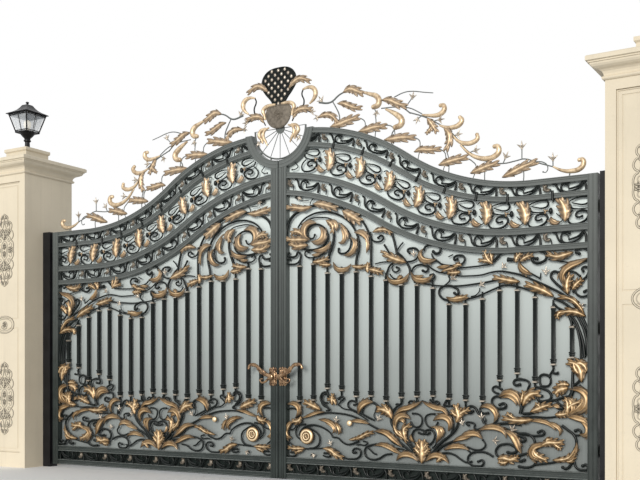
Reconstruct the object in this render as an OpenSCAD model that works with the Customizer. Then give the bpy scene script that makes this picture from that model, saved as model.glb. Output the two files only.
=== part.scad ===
// Double-leaf wrought iron driveway gate between two masonry piers.
// The leaves are drawn on the gate's centre line and moved so that the origin is
// the centre of the left pier's base. X runs along the gate, Y through it from the
// street side to the drive side, Z up.

/* [Gateway] */
// Clear width between the two piers
opening_w = 5800; // [5500:50:6200]
// Gap between the two closed leaves
centre_gap = 12; // [11:1:18]
// Gap between a closed leaf and its hinge post
post_gap = 20; // [16:1:28]
// Height of the closed leaves above the ground
ground_gap = 30; // [20:5:60]

/* [Piers] */
// Width of a pier, along the gate
pier_w = 640; // [580:10:760]
// Depth of a pier, through the gate
pier_d = 640; // [580:10:760]
// How far the piers' centres stand behind the leaves' centre plane
pier_back = 30; // [0:5:60]
// Height of a pier's shaft
shaft_h = 2980; // [2800:10:3200]
// Height of a pier's cap
cap_h = 160; // [130:5:200]
// How far a cap reaches beyond its shaft
cap_overhang = 110; // [70:5:150]
// Width of the raised margin round a pier's panels
margin_w = 75; // [55:5:100]
// Depth of the sunk panels in a pier's faces
panel_sink = 18; // [8:1:30]
// Height of the plain strip between a pier's two outlined panels
panel_split = 1465; // [1300:5:1600]
// Width of the block under a lantern
block_w = 300; // [240:10:360]
// Height of the block under a lantern
block_h = 160; // [120:10:200]

/* [Lanterns] */
// Width of a lantern's eaves
eaves_w = 310; // [260:10:360]
// Width of a lantern's glass at the top
glass_top_w = 250; // [220:5:260]
// Width of a lantern's glass at the bottom
glass_foot_w = 150; // [120:5:180]
// Height of a lantern's glass
glass_h = 175; // [140:5:220]
// Height of a lantern's roof, without its finial
lantern_roof_h = 110; // [80:5:150]
// Height of the post and bowl below the glass
lantern_post_h = 200; // [160:5:260]

/* [Frame] */
// Depth of the leaves' frame bars
frame_d = 60; // [50:1:70]
// Width of the stile at the hinges
hinge_stile_w = 75; // [60:1:90]
// Width of the stile where the leaves meet
meeting_stile_w = 75; // [65:1:90]
// Height of the top rail's upper edge beside the crest
top_high = 3065; // [2900:5:3200]
// Height of the top rail's upper edge beside the piers
top_low = 2400; // [2350:5:2500]
// Where the top rail's swan neck starts, from the gate's centre
neck_start = 200; // [150:10:300]
// Where the top rail's swan neck ends, from the gate's centre
neck_end = 2300; // [2200:10:2400]
// How much nearer to the centre the fourth rail's swan neck starts
neck_lead = 450; // [300:10:500]
// How much nearer to the centre the fourth rail's swan neck ends
neck_trail = 150; // [50:10:250]
// Height of the first rail
rail_1_h = 45; // [35:1:55]
// Height of the second rail
rail_2_h = 40; // [30:1:50]
// Height of the third rail
rail_3_h = 50; // [40:1:60]
// Height of the fourth rail
rail_4_h = 45; // [35:1:55]
// Height of the frieze under the first rail
upper_frieze_h = 70; // [60:1:80]
// Height of the acanthus band
band_h = 200; // [180:5:220]
// Height of the frieze over the fourth rail
lower_frieze_h = 90; // [75:1:100]
// Height of the lower rail
lower_rail_h = 55; // [45:1:65]
// Height of the base frieze
base_frieze_h = 85; // [75:1:95]
// Height of the bottom rail
bottom_rail_h = 50; // [40:1:60]
// Thickness of the backing sheet
sheet_t = 3; // [2:0.5:6]

/* [Bars] */
// Side of a square upright bar
bar_w = 30; // [24:1:34]
// Space between the centre of an end bar and its stile
end_space = 122; // [110:1:135]
// Side of the collar near each end of a bar
collar_w = 40; // [36:1:46]

/* [Ornament] */
// Thickness of the forged scrolls
scroll_t = 14; // [10:1:18]
// Thickness of the gilded leaves on the scrolls
leaf_t = 14; // [8:1:18]
// Width of the forged scrolls, as a share of the drawn width
scroll_bold = 1.5; // [1:0.05:1.7]
// Width of the gilded leaves, as a share of the drawn width
leaf_bold = 1.25; // [1:0.05:1.4]

/* [Crest] */
// Inner radius of the U-shaped frame round the crest ring
cradle_r = 285; // [270:5:300]
// Width of the U-shaped frame
cradle_w = 70; // [55:1:80]
// Clearance between the crest ring and its U-shaped frame
ring_clear = 12; // [11:1:16]
// Radial width of the crest ring
ring_w = 15; // [10:1:20]
// Height of the crest ring's centre above the top rail's upper edge
ring_rise = 35; // [20:5:50]

/* [Hinges] */
// Side of a square hinge post
post_w = 100; // [80:5:110]
// Height of a hinge post
post_h = 2405; // [2300:5:2600]
// Radius of a hinge pin
pin_r = 11; // [9:0.5:13]
// Radial clearance between a pin and its eye
pin_clear = 0.08; // [0.05:0.01:0.1]
// Wall of a hinge eye
eye_wall = 8; // [6:0.5:10]
// Height of a hinge eye
eye_h = 60; // [45:1:80]
// Distance from the frame's back to the hinge axis
hinge_back = 45; // [40:1:60]
// Thickness of a bracket under an eye
bracket_t = 20; // [14:1:26]
// Height of the lowest hinge
hinge_low = 350; // [250:10:500]
// Height of the highest hinge
hinge_high = 2150; // [1900:10:2250]

/* [Handles] */
// Height of a lever handle's spindle
handle_z = 920; // [880:5:1000]
// Reach of a lever handle from its spindle
lever_reach = 250; // [200:5:280]
// Height of a handle's plate
plate_h = 200; // [160:5:240]
// Radius of a handle's spindle
spindle_r = 9; // [7:0.5:11]

/* [Hidden] */
$fn = 64;

frame_col = [0.33, 0.36, 0.35];
bar_col = [0.08, 0.09, 0.09];
gilt_col = [0.80, 0.60, 0.32];
sheet_col = [0.72, 0.75, 0.76];
stone_col = [0.93, 0.89, 0.80];
bronze_col = [0.45, 0.28, 0.20];
shield_col = [0.50, 0.46, 0.40];
glass_col = [0.55, 0.60, 0.66, 0.5];

// Heights of each bar's two ends, on the drawn panel.
bar_ends = [
    [700, 1890], [710, 1900], [810, 1815], [795, 1805], [745, 1810], [750, 1765],
    [710, 1725], [740, 1680], [750, 1670], [755, 1640], [735, 1505], [725, 1500],
    [720, 1535], [880, 1595], [935, 1590], [870, 1530], [1000, 1450], [1050, 1300]
];

// Places along X, from the gate's centre to a pier.
meet_x = centre_gap / 2;
meet_in = meet_x + meeting_stile_w;
post_in = opening_w / 2 - post_w;
leaf_out = post_in - post_gap;
stile_in = leaf_out - hinge_stile_w;
inner_w = stile_in - meet_in;
pitch = (inner_w - 2 * end_space) / (len(bar_ends) - 1);
first_bar = meet_in + end_space;
pier_x = opening_w / 2 + pier_w / 2;

// Drops of the rails' edges below the top rail's upper edge.
drop_1 = rail_1_h;
drop_2 = drop_1 + upper_frieze_h;
drop_3 = drop_2 + rail_2_h;
drop_4 = drop_3 + band_h;
drop_5 = drop_4 + rail_3_h;
drop_6 = drop_5 + lower_frieze_h;
drop_7 = drop_6 + rail_4_h;

// Heights of the base.
bottom_top = ground_gap + bottom_rail_h;
frieze_top = bottom_top + base_frieze_h;
base_top = frieze_top + lower_rail_h;

ring_z = top_high + ring_rise;
cradle_out = cradle_r + cradle_w;
hinge_x = leaf_out + post_gap / 2;
hinge_y = frame_d / 2 + hinge_back;
eye_r = pin_r + pin_clear + eye_wall;

// The scrolls lie behind the leaves' plane, and both in the frame's depth.
scroll_back = 0;
scroll_front = scroll_back - scroll_t;

// The ornament was drawn on a panel 2624 wide, and grows with the leaf's width.
grow = inner_w / 2624;
bold = scroll_bold * grow;
lush = leaf_bold * grow;

// An S of two equal arcs that falls from [xa, za] to [xb, zb], level beyond them.
function swan(x, xa, za, xb, zb) =
    let (run = xb - xa, fall = za - zb, r = (run * run + fall * fall) / (4 * fall))
    x <= xa ? za :
    x >= xb ? zb :
    x < (xa + xb) / 2 ? za - r + sqrt(r * r - (x - xa) * (x - xa)) :
    zb + r - sqrt(r * r - (xb - x) * (xb - x));

// Height of the curve that lies a given drop below the top rail's upper edge.
function edge_z(x, drop) =
    let (f = drop / drop_7)
    swan(x, neck_start - neck_lead * f, top_high - drop, neck_end - neck_trail * f,
         top_low - drop);

// The same curve on the drawn panel.
function drawn_z(x, drop) =
    let (f = drop / 540)
    swan(x, 200 - 450 * f, 3065 - drop, 2300 - 150 * f, 2400 - drop);

// Moves a drawn point along the leaf to where the leaf's own width puts it.
function along(x) = meet_in + (x - 81) * grow;

// Drawn points of the upper panel keep their distance below the fourth rail,
// those of the lower panel their height above the lower rail, and those of the
// crest their height above the first rail.
function below_rail(p) =
    [along(p[0]), edge_z(along(p[0]), drop_7) + (p[1] - drawn_z(p[0], 540)) * grow];
function above_base(p) = [along(p[0]), base_top + (p[1] - 220) * grow];
function above_rail(p) =
    [along(p[0]), edge_z(along(p[0]), 0) + (p[1] - drawn_z(p[0], 0)) * grow];

// The radius of the curve at a given drop, the turn of each of its arcs, and the
// length of one arc.
function neck_from(drop) = neck_start - neck_lead * drop / drop_7;
function neck_to(drop) = neck_end - neck_trail * drop / drop_7;
function neck_r(drop) =
    let (run = neck_to(drop) - neck_from(drop), fall = top_high - top_low)
    (run * run + fall * fall) / (4 * fall);
function neck_turn(drop) = asin((neck_to(drop) - neck_from(drop)) / 2 / neck_r(drop));
function neck_arc(drop) = neck_r(drop) * neck_turn(drop) * PI / 180;

// Distance along that curve from the start of its neck to the place x.
function distance(x, drop) =
    let (xa = neck_from(drop), xb = neck_to(drop), r = neck_r(drop))
    x <= xa ? x - xa :
    x < (xa + xb) / 2 ? r * asin((x - xa) / r) * PI / 180 :
    x < xb ? 2 * neck_arc(drop) - r * asin((xb - x) / r) * PI / 180 :
    2 * neck_arc(drop) + x - xb;

// The point at a distance s along that curve, and the slope there.
function on_curve(s, drop) =
    let (xa = neck_from(drop), xb = neck_to(drop), r = neck_r(drop), arc = neck_arc(drop),
         turn = neck_turn(drop), a = turn * (s < arc ? s / arc : 2 - s / arc))
    s <= 0 ? [xa + s, top_high - drop, 0] :
    s < arc ? [xa + r * sin(a), top_high - drop - r * (1 - cos(a)), a] :
    s < 2 * arc ? [xb - r * sin(a), top_low - drop + r * (1 - cos(a)), a] :
    [xb + s - 2 * arc, top_low - drop, 0];

// The point at a distance s along the band between two drops, and at the share v
// of the band's width from its middle.
function in_band(s, v, drop_a, drop_b) =
    let (m = on_curve(s, (drop_a + drop_b) / 2),
         w = (edge_z(m[0], drop_a) - edge_z(m[0], drop_b)) * cos(m[2]))
    [m[0] + v * w * sin(m[2]), m[1] + v * w * cos(m[2])];

// A spiral round c from radius a to radius b, from the angle start through turn.
function volute(c, a, b, start, turn) =
    let (n = ceil(abs(turn) / 45))
    [for (i = [0:n])
        c + (a + (b - a) * i / n) * [cos(start + turn * i / n), sin(start + turn * i / n)]];

// A smooth curve through the points p, with n steps between two points.
function blend(a, b, c, d, t) =
    0.5 * (2 * b + (c - a) * t + (2 * a - 5 * b + 4 * c - d) * t * t
           + (3 * b - a - 3 * c + d) * t * t * t);
function smooth(p, n) =
    let (e = len(p) - 1)
    [for (i = [0:e - 1], k = [0:n - 1])
        blend(p[max(i - 1, 0)], p[i], p[i + 1], p[min(i + 2, e)], k / n),
     p[e]];

// Unit normals along a curve.
function side(p, i) =
    let (a = p[max(i - 1, 0)], b = p[min(i + 1, len(p) - 1)], d = b - a)
    [-d[1], d[0]] / norm(d);

// The outline of a strip along the curve p, with half its width at each point in h.
function strip(p, h) =
    concat([for (i = [0:len(p) - 1]) p[i] + side(p, i) * h[i]],
           [for (i = [len(p) - 1:-1:0]) p[i] - side(p, i) * h[i]]);

// A forged bar that tapers from width a to width b.
module stem(points, a, b, n = 3) {
    p = len(points) > 2 ? smooth(points, n) : points;
    e = len(p) - 1;
    polygon(strip(p, [for (i = [0:e]) (a + (b - a) * i / e) / 2]));
}

// A leaf of width w along its spine, with notches of the given depth in its edges.
module leaf(points, w, notch) {
    p = smooth(points, w > 45 ? 3 : 2);
    e = len(p) - 1;
    polygon(strip(p, [for (i = [0:e])
        max(1.5, w / 2 * pow(sin(180 * (0.04 + 0.93 * i / e)), 0.6)
                 * (i % 2 == 0 ? 1 - notch : 1))]));
}

// Turns a flat drawing upright, from the depth y0 back to y1.
module upright(y0, y1) {
    translate([0, y1, 0]) rotate([90, 0, 0]) linear_extrude(y1 - y0) children();
}

// Puts a leaf's pieces on the right (1) or the left (-1) of the gate.
module on_side(s) {
    translate([pier_x, -pier_back, 0]) mirror([s > 0 ? 0 : 1, 0, 0]) children();
}

// PIERS

module pier(s) {
    panel_w = pier_w - 2 * margin_w;
    panel_h = shaft_h - 3 * margin_w;
    strip_h = 0.6 * margin_w;
    color(stone_col)
    translate([s > 0 ? 2 * pier_x : 0, 0, 0])
    difference() {
        translate([-pier_w / 2, -pier_d / 2, 0]) cube([pier_w, pier_d, shaft_h]);
        for (f = [-1, 1]) {
            translate([-panel_w / 2, f * (pier_d / 2 - panel_sink / 2) - panel_sink / 2,
                       2 * margin_w])
                cube([panel_w, panel_sink, panel_h]);
            translate([0, f * (pier_d / 2 - panel_sink), 0]) {
                outline_groove(panel_w - margin_w, 2.5 * margin_w, panel_split - strip_h);
                outline_groove(panel_w - margin_w, panel_split + strip_h,
                               shaft_h - 1.5 * margin_w);
            }
        }
    }
}

// The cutter for a fine line round a panel w wide, from the height z0 to z1.
module outline_groove(w, z0, z1) {
    groove = 10;
    translate([0, 5, 0]) rotate([90, 0, 0]) linear_extrude(10) difference() {
        translate([-w / 2, z0]) square([w, z1 - z0]);
        translate([-w / 2 + groove, z0 + groove]) square([w - 2 * groove, z1 - z0 - 2 * groove]);
    }
}

// A moulding with mitred corners round a block w wide and d deep. Its profile runs
// from the bottom up, as [reach beyond the block, height].
module mitred(w, d, profile) {
    e = len(profile) - 1;
    intersection() {
        rotate([90, 0, 0]) linear_extrude(2 * (w + d), center = true)
            polygon(concat([for (p = profile) [w / 2 + p[0], p[1]]],
                           [for (i = [e:-1:0]) [-w / 2 - profile[i][0], profile[i][1]]]));
        rotate([90, 0, 90]) linear_extrude(2 * (w + d), center = true)
            polygon(concat([for (p = profile) [d / 2 + p[0], p[1]]],
                           [for (i = [e:-1:0]) [-d / 2 - profile[i][0], profile[i][1]]]));
    }
}

// A bead, a cyma, a fillet and a fascia, as shares of the cap's reach and height.
cap_profile = [
    [0, 0], [0.1, 0], [0.17, 0.04], [0.19, 0.08], [0.17, 0.12], [0.1, 0.16], [0.06, 0.16],
    [0.08, 0.26], [0.16, 0.36], [0.3, 0.43], [0.5, 0.48], [0.66, 0.54], [0.76, 0.62],
    [0.78, 0.7], [0.86, 0.7], [0.86, 0.76], [1, 0.78], [1, 0.95], [0.94, 1]
];

module pier_cap(s) {
    slab = 14;
    color(stone_col)
    translate([s > 0 ? 2 * pier_x : 0, 0, shaft_h]) {
        mitred(pier_w, pier_d, [for (p = cap_profile) [p[0] * cap_overhang, p[1] * cap_h]]);
        translate([0, 0, cap_h])
            mitred(block_w, block_w, [[slab / 2, 0], [slab / 2, 0.1 * block_h],
                                      [0, 0.16 * block_h], [0, 0.74 * block_h],
                                      [slab, 0.82 * block_h], [slab, block_h]]);
    }
}

// LANTERNS

lantern_z = shaft_h + cap_h + block_h;
glass_z = lantern_z + lantern_post_h;
lantern_bar = 14;
glass_t = 4;
eave_t = 8;

module lantern_at(s) {
    translate([s > 0 ? 2 * pier_x : 0, 0, 0]) children();
}

// A square frustum with the widths a below and b above.
module frustum(a, b, z, h) {
    outline = [[-a / 2, 0], [a / 2, 0], [b / 2, h], [-b / 2, h]];
    translate([0, 0, z]) intersection() {
        rotate([90, 0, 0]) linear_extrude(2 * (a + b), center = true) polygon(outline);
        rotate([90, 0, 90]) linear_extrude(2 * (a + b), center = true) polygon(outline);
    }
}

// The turned post and bowl that carry the glass.
module lantern_post() {
    h = lantern_post_h - lantern_bar;
    r = glass_foot_w / 2;
    translate([0, 0, lantern_z]) rotate_extrude()
        polygon([[0, 0], [0.8 * r, 0], [0.8 * r, 0.06 * h], [0.42 * r, 0.14 * h],
                 [0.34 * r, 0.3 * h], [0.34 * r, 0.52 * h], [0.5 * r, 0.58 * h],
                 [0.42 * r, 0.66 * h], [0.8 * r, 0.82 * h], [r, h], [0, h]]);
}

module lantern_frame(s) {
    foot = glass_foot_w + 2 * lantern_bar;
    top = glass_top_w + 2 * lantern_bar;
    roof_z = glass_z + glass_h;
    color(bar_col) lantern_at(s) {
        lantern_post();
        frustum(foot, foot, glass_z - lantern_bar, lantern_bar);
        difference() {
            frustum(foot, top, glass_z, glass_h);
            frustum(glass_foot_w, glass_top_w, glass_z, glass_h);
            for (a = [0, 90])
                rotate(a) rotate([90, 0, 0])
                    translate([0, glass_z]) linear_extrude(2 * top, center = true)
                        polygon([[-glass_foot_w / 2 + lantern_bar, -1],
                                 [glass_foot_w / 2 - lantern_bar, -1],
                                 [glass_top_w / 2 - lantern_bar, glass_h - lantern_bar],
                                 [-glass_top_w / 2 + lantern_bar, glass_h - lantern_bar]]);
        }
        frustum(eaves_w, eaves_w, roof_z, eave_t);
        frustum(0.94 * eaves_w, 0.2 * eaves_w, roof_z + eave_t, lantern_roof_h - eave_t);
        translate([0, 0, roof_z + lantern_roof_h]) rotate_extrude()
            polygon([[0, -1], [18, -1], [9, 9], [16, 20], [12, 32], [0, 38]]);
    }
}

module lantern_glass(s) {
    color(glass_col) lantern_at(s) difference() {
        frustum(glass_foot_w, glass_top_w, glass_z, glass_h);
        frustum(glass_foot_w - 2 * glass_t, glass_top_w - 2 * glass_t, glass_z, glass_h);
    }
}

// HINGES

hinge_heights = [hinge_low, (hinge_low + hinge_high) / 2, hinge_high];
eye_gap = 1;

module hinge_post() {
    color(bar_col) {
        translate([post_in, -post_w / 2, 0]) cube([post_w, post_w, post_h]);
        for (z = hinge_heights) {
            translate([0, 0, z - bracket_t]) linear_extrude(bracket_t) {
                translate([hinge_x, hinge_y]) circle(r = eye_r);
                polygon([[hinge_x, hinge_y + eye_r], [hinge_x, hinge_y - eye_r + 1],
                         [post_in + 5, post_w / 2], [post_in + 0.6 * post_w, post_w / 2]]);
            }
            translate([hinge_x, hinge_y, z - bracket_t])
                cylinder(r = pin_r, h = bracket_t + eye_h + 12);
        }
    }
}

module hinge_stile() {
    arm = hinge_stile_w - 20;
    color(frame_col) {
        translate([stile_in, -frame_d / 2, ground_gap])
            cube([hinge_stile_w, frame_d, top_low - ground_gap]);
        for (z = hinge_heights)
            translate([0, 0, z + eye_gap]) linear_extrude(eye_h) difference() {
                union() {
                    translate([hinge_x, hinge_y]) circle(r = eye_r);
                    polygon([[leaf_out - arm, frame_d / 2], [leaf_out - 5, frame_d / 2],
                             [hinge_x - eye_r + 1, hinge_y], [hinge_x, hinge_y + eye_r - 1],
                             [hinge_x - arm / 2, hinge_y + eye_r - 3],
                             [leaf_out - arm, frame_d / 2 + 20]]);
                }
                translate([hinge_x, hinge_y]) circle(r = pin_r + pin_clear);
            }
    }
}

// FRAME

// The quarter of the U-shaped frame that one leaf carries.
module cradle() {
    color(frame_col) upright(-frame_d / 2, frame_d / 2) intersection() {
        translate([0, ring_z]) difference() {
            circle(r = cradle_out);
            circle(r = cradle_r);
        }
        translate([meet_x, ring_z - cradle_out - 1])
            square([cradle_out, cradle_out + 1 - ring_rise]);
    }
}

module meeting_stile() {
    groove_w = 8;
    groove_d = 6;
    color(frame_col) difference() {
        upright(-frame_d / 2, frame_d / 2) difference() {
            translate([meet_x, ground_gap]) square([meeting_stile_w, ring_z - ground_gap]);
            translate([0, ring_z]) circle(r = cradle_out);
        }
        for (f = [0.3, 0.6])
            translate([meet_x + f * meeting_stile_w, -frame_d / 2, ground_gap])
                cube([groove_w, groove_d, ring_z - cradle_out - ground_gap]);
    }
}

// The strip between two swan-neck edges, from the meeting stile to the hinge stile.
module swan_band(drop_a, drop_b, steps = 30) {
    xs = [for (i = [0:steps]) meet_in + inner_w * i / steps];
    polygon(concat([for (x = xs) [x, edge_z(x, drop_a)]],
                   [for (i = [steps:-1:0]) [xs[i], edge_z(xs[i], drop_b)]]));
}

module swan_neck_rails() {
    color(frame_col) upright(-frame_d / 2, frame_d / 2) difference() {
        union() {
            swan_band(0, drop_1);
            swan_band(drop_2, drop_3);
            swan_band(drop_4, drop_5);
            swan_band(drop_6, drop_7);
        }
        translate([0, ring_z]) circle(r = cradle_out);
    }
}

module base_rails() {
    color(frame_col) upright(-frame_d / 2, frame_d / 2) {
        translate([meet_in, ground_gap]) square([inner_w, bottom_rail_h]);
        translate([meet_in, frieze_top]) square([inner_w, lower_rail_h]);
    }
}

module backing_sheet() {
    lap = 15;
    steps = 30;
    xs = [for (i = [0:steps]) meet_in - lap + (inner_w + 2 * lap) * i / steps];
    color(sheet_col) upright(frame_d / 2, frame_d / 2 + sheet_t) difference() {
        polygon(concat([for (x = xs) [x, edge_z(x, lap)]],
                       [[xs[steps], ground_gap + lap], [xs[0], ground_gap + lap]]));
        translate([0, ring_z]) circle(r = cradle_out - lap);
    }
}

// BARS

module bars() {
    tongue = 40;
    color(bar_col) for (i = [0:len(bar_ends) - 1]) {
        x = first_bar + i * pitch;
        drawn_x = 81 + (x - meet_in) / grow;
        low = above_base([drawn_x, bar_ends[i][0]])[1];
        high = below_rail([drawn_x, bar_ends[i][1]])[1];
        translate([x - bar_w / 2, -bar_w / 2, low]) cube([bar_w, bar_w, high - low]);
        translate([x - bar_w / 4, scroll_back, low - tongue])
            cube([bar_w / 2, bar_w / 2, high - low + 2 * tongue]);
        for (z = [low + 12, high - 24])
            translate([x - collar_w / 2, -collar_w / 2, z]) cube([collar_w, collar_w, 12]);
    }
}

// ORNAMENT

// The clear outline between the fourth rail and the lower rail.
module panel_above() {
    steps = 30;
    xs = [for (i = [0:steps]) meet_in + inner_w * i / steps];
    polygon(concat([for (x = xs) [x, edge_z(x, drop_7)]],
                   [[stile_in, base_top], [meet_in, base_top]]));
}

// Forged bars of the upper panel: width at the start, width at the end, points.
upper_bars = [
    [12, 16, [[74, 2120], [100, 2255], [190, 2345], [360, 2382], [560, 2350], [720, 2302],
              [830, 2220], [895, 2090], [912, 1960], [903, 1767]]],
    [10, 14, [[74, 2090], [120, 2170], [180, 2235], [260, 2292], [360, 2318], [470, 2318],
              [570, 2298], [660, 2250], [730, 2190], [778, 2110], [790, 2030], [785, 1950],
              [763, 1812]]],
    [16, 10, concat([[525, 1830], [585, 1940]], volute([400, 2115], 205, 45, -20, 640))],
    [9, 6, concat([[74, 2470]], volute([165, 2420], 50, 16, 140, -430))],
    [8, 6, [[74, 2040], [84, 1970], [130, 1940], [180, 1955], [192, 2000], [155, 2022],
            [122, 1998]]],
    [8, 6, [[74, 1900], [150, 1900], [203, 1925], [215, 1990]]],
    [9, 7, [[275, 2035], [268, 1985], [310, 1948], [380, 1945], [425, 1915], [430, 1880]]],
    [12, 10, [[203, 1900], [345, 1915], [440, 1880], [483, 1850], [540, 1828], [620, 1817],
              [690, 1825], [763, 1826], [880, 1792], [1000, 1753], [1060, 1738],
              [1110, 1710], [1183, 1693], [1250, 1712], [1268, 1770]]],
    [14, 8, concat([[1262, 1720], [1262, 1800], [1220, 1850], [1165, 1900], [1135, 1980]],
                   volute([1018, 2055], 90, 30, 0, 430))],
    [8, 6, [[1055, 1742], [1070, 1815], [1118, 1846], [1162, 1825], [1162, 1790],
            [1130, 1784]]],
    [9, 6, [[1185, 1882], [1240, 1862], [1300, 1865], [1332, 1905], [1312, 1948],
            [1268, 1945], [1262, 1905]]],
    [9, 6, [[1262, 1715], [1300, 1770], [1360, 1808], [1415, 1795], [1425, 1755],
            [1388, 1742]]],
    [9, 7, [[1372, 1806], [1375, 1880], [1410, 1945], [1475, 1965], [1530, 1930],
            [1528, 1885], [1488, 1872]]],
    [10, 7, [[1500, 1875], [1560, 1805], [1640, 1784], [1712, 1800], [1732, 1842],
             [1700, 1870], [1662, 1852]]],
    [9, 12, [[1420, 1795], [1520, 1788], [1600, 1766], [1720, 1764], [1830, 1772],
             [1910, 1790], [1965, 1830], [2040, 1858], [2120, 1864]]],
    [8, 14, [[1530, 1785], [1580, 1738], [1650, 1712], [1760, 1702], [1880, 1705],
             [1960, 1725], [2040, 1725], [2130, 1705], [2230, 1670], [2330, 1620],
             [2430, 1580], [2520, 1540], [2600, 1460], [2660, 1370], [2712, 1240]]],
    [10, 14, [[1268, 1712], [1323, 1684], [1400, 1665], [1500, 1648], [1640, 1635],
              [1760, 1635], [1880, 1650], [1980, 1665], [2060, 1660], [2160, 1635],
              [2260, 1610], [2360, 1560], [2460, 1510], [2560, 1440], [2640, 1330],
              [2680, 1200], [2712, 1080]]],
    [8, 14, [[1575, 1637], [1528, 1605], [1545, 1560], [1603, 1534], [1740, 1522],
             [1860, 1547], [1960, 1590], [2060, 1618], [2160, 1606], [2260, 1572],
             [2340, 1532], [2443, 1478], [2540, 1400], [2610, 1300], [2645, 1180],
             [2712, 1050]]],
    [8, 6, [[2040, 1864], [2110, 1850], [2150, 1815], [2130, 1780], [2090, 1775],
            [2068, 1802], [2095, 1822]]],
    [8, 6, [[2220, 1850], [2290, 1868], [2355, 1850], [2375, 1805], [2335, 1780],
            [2298, 1805]]],
    [8, 6, [[2585, 1845], [2640, 1864], [2695, 1848], [2712, 1805], [2680, 1778],
            [2640, 1795]]],
    [9, 6, [[2535, 1528], [2480, 1610], [2445, 1675], [2468, 1722], [2508, 1718],
            [2502, 1688]]],
    [9, 7, [[2712, 1680], [2660, 1620], [2630, 1570], [2640, 1520], [2680, 1510],
            [2712, 1530]]],
    [7, 6, [[2300, 1638], [2345, 1690], [2362, 1705]]]
];

// Gilded leaves of the upper panel: width, depth of the notches, spine.
upper_foliage = [
    [60, 0.3, [[90, 2400], [170, 2402], [262, 2370]]],
    [44, 0.25, [[340, 2380], [430, 2392], [520, 2382], [620, 2335]]],
    [50, 0.3, [[650, 2322], [740, 2280], [812, 2225]]],
    [90, 0.35, [[120, 2215], [150, 2130], [215, 2060], [290, 2015]]],
    [28, 0.1, [[248, 2130], [262, 2205], [330, 2242], [385, 2240]]],
    [26, 0.1, [[390, 2075], [440, 2090], [468, 2130], [470, 2180]]],
    [30, 0.2, [[350, 2030], [430, 1992], [505, 2032]]],
    [32, 0.2, [[530, 2240], [596, 2190], [592, 2120]]],
    [36, 0.25, [[580, 2285], [650, 2205], [688, 2130], [668, 2050]]],
    [34, 0.2, [[765, 2140], [840, 2130], [897, 2060]]],
    [30, 0.2, [[640, 1945], [730, 1970], [790, 2045]]],
    [32, 0.2, [[350, 1918], [420, 1893], [480, 1860]]],
    [42, 0.25, [[545, 1872], [620, 1836], [700, 1836], [745, 1862]]],
    [28, 0.2, [[770, 1840], [820, 1822], [890, 1800]]],
    [36, 0.25, [[925, 1795], [985, 1775], [1045, 1755]]],
    [34, 0.25, [[1075, 1748], [1150, 1712], [1230, 1722], [1260, 1762]]],
    [34, 0.25, [[1290, 1722], [1370, 1692], [1460, 1696], [1492, 1735]]],
    [32, 0.2, [[930, 2105], [1010, 2140], [1085, 2112]]],
    [44, 0.25, [[1050, 1925], [1110, 1892], [1205, 1858]]],
    [46, 0.2, [[1345, 1925], [1400, 1872], [1500, 1855]]],
    [40, 0.3, [[1430, 1794], [1560, 1784], [1690, 1764]]],
    [46, 0.3, [[1550, 1640], [1590, 1665], [1640, 1650]]],
    [52, 0.3, [[1520, 1600], [1560, 1565], [1640, 1554]]],
    [40, 0.25, [[1650, 1545], [1740, 1540], [1850, 1555]]],
    [56, 0.3, [[1860, 1792], [1930, 1840], [2000, 1868]]],
    [70, 0.35, [[2085, 1845], [2170, 1800], [2230, 1750], [2275, 1690]]],
    [56, 0.3, [[2400, 1850], [2500, 1812], [2600, 1835]]],
    [50, 0.3, [[2705, 1775], [2640, 1740], [2565, 1700], [2535, 1640], [2565, 1590]]],
    [26, 0.15, [[1990, 1682], [2080, 1666], [2190, 1634]]],
    [50, 0.3, [[2300, 1605], [2400, 1568], [2500, 1530], [2600, 1475]]],
    [36, 0.25, [[2650, 1400], [2590, 1415], [2520, 1405]]]
];

// Small flowers of the upper panel: radius and centre.
upper_flowers = [[24, [1545, 1880]], [18, [1640, 1562]], [22, [1968, 1745]],
                 [24, [2362, 1705]]];

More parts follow.
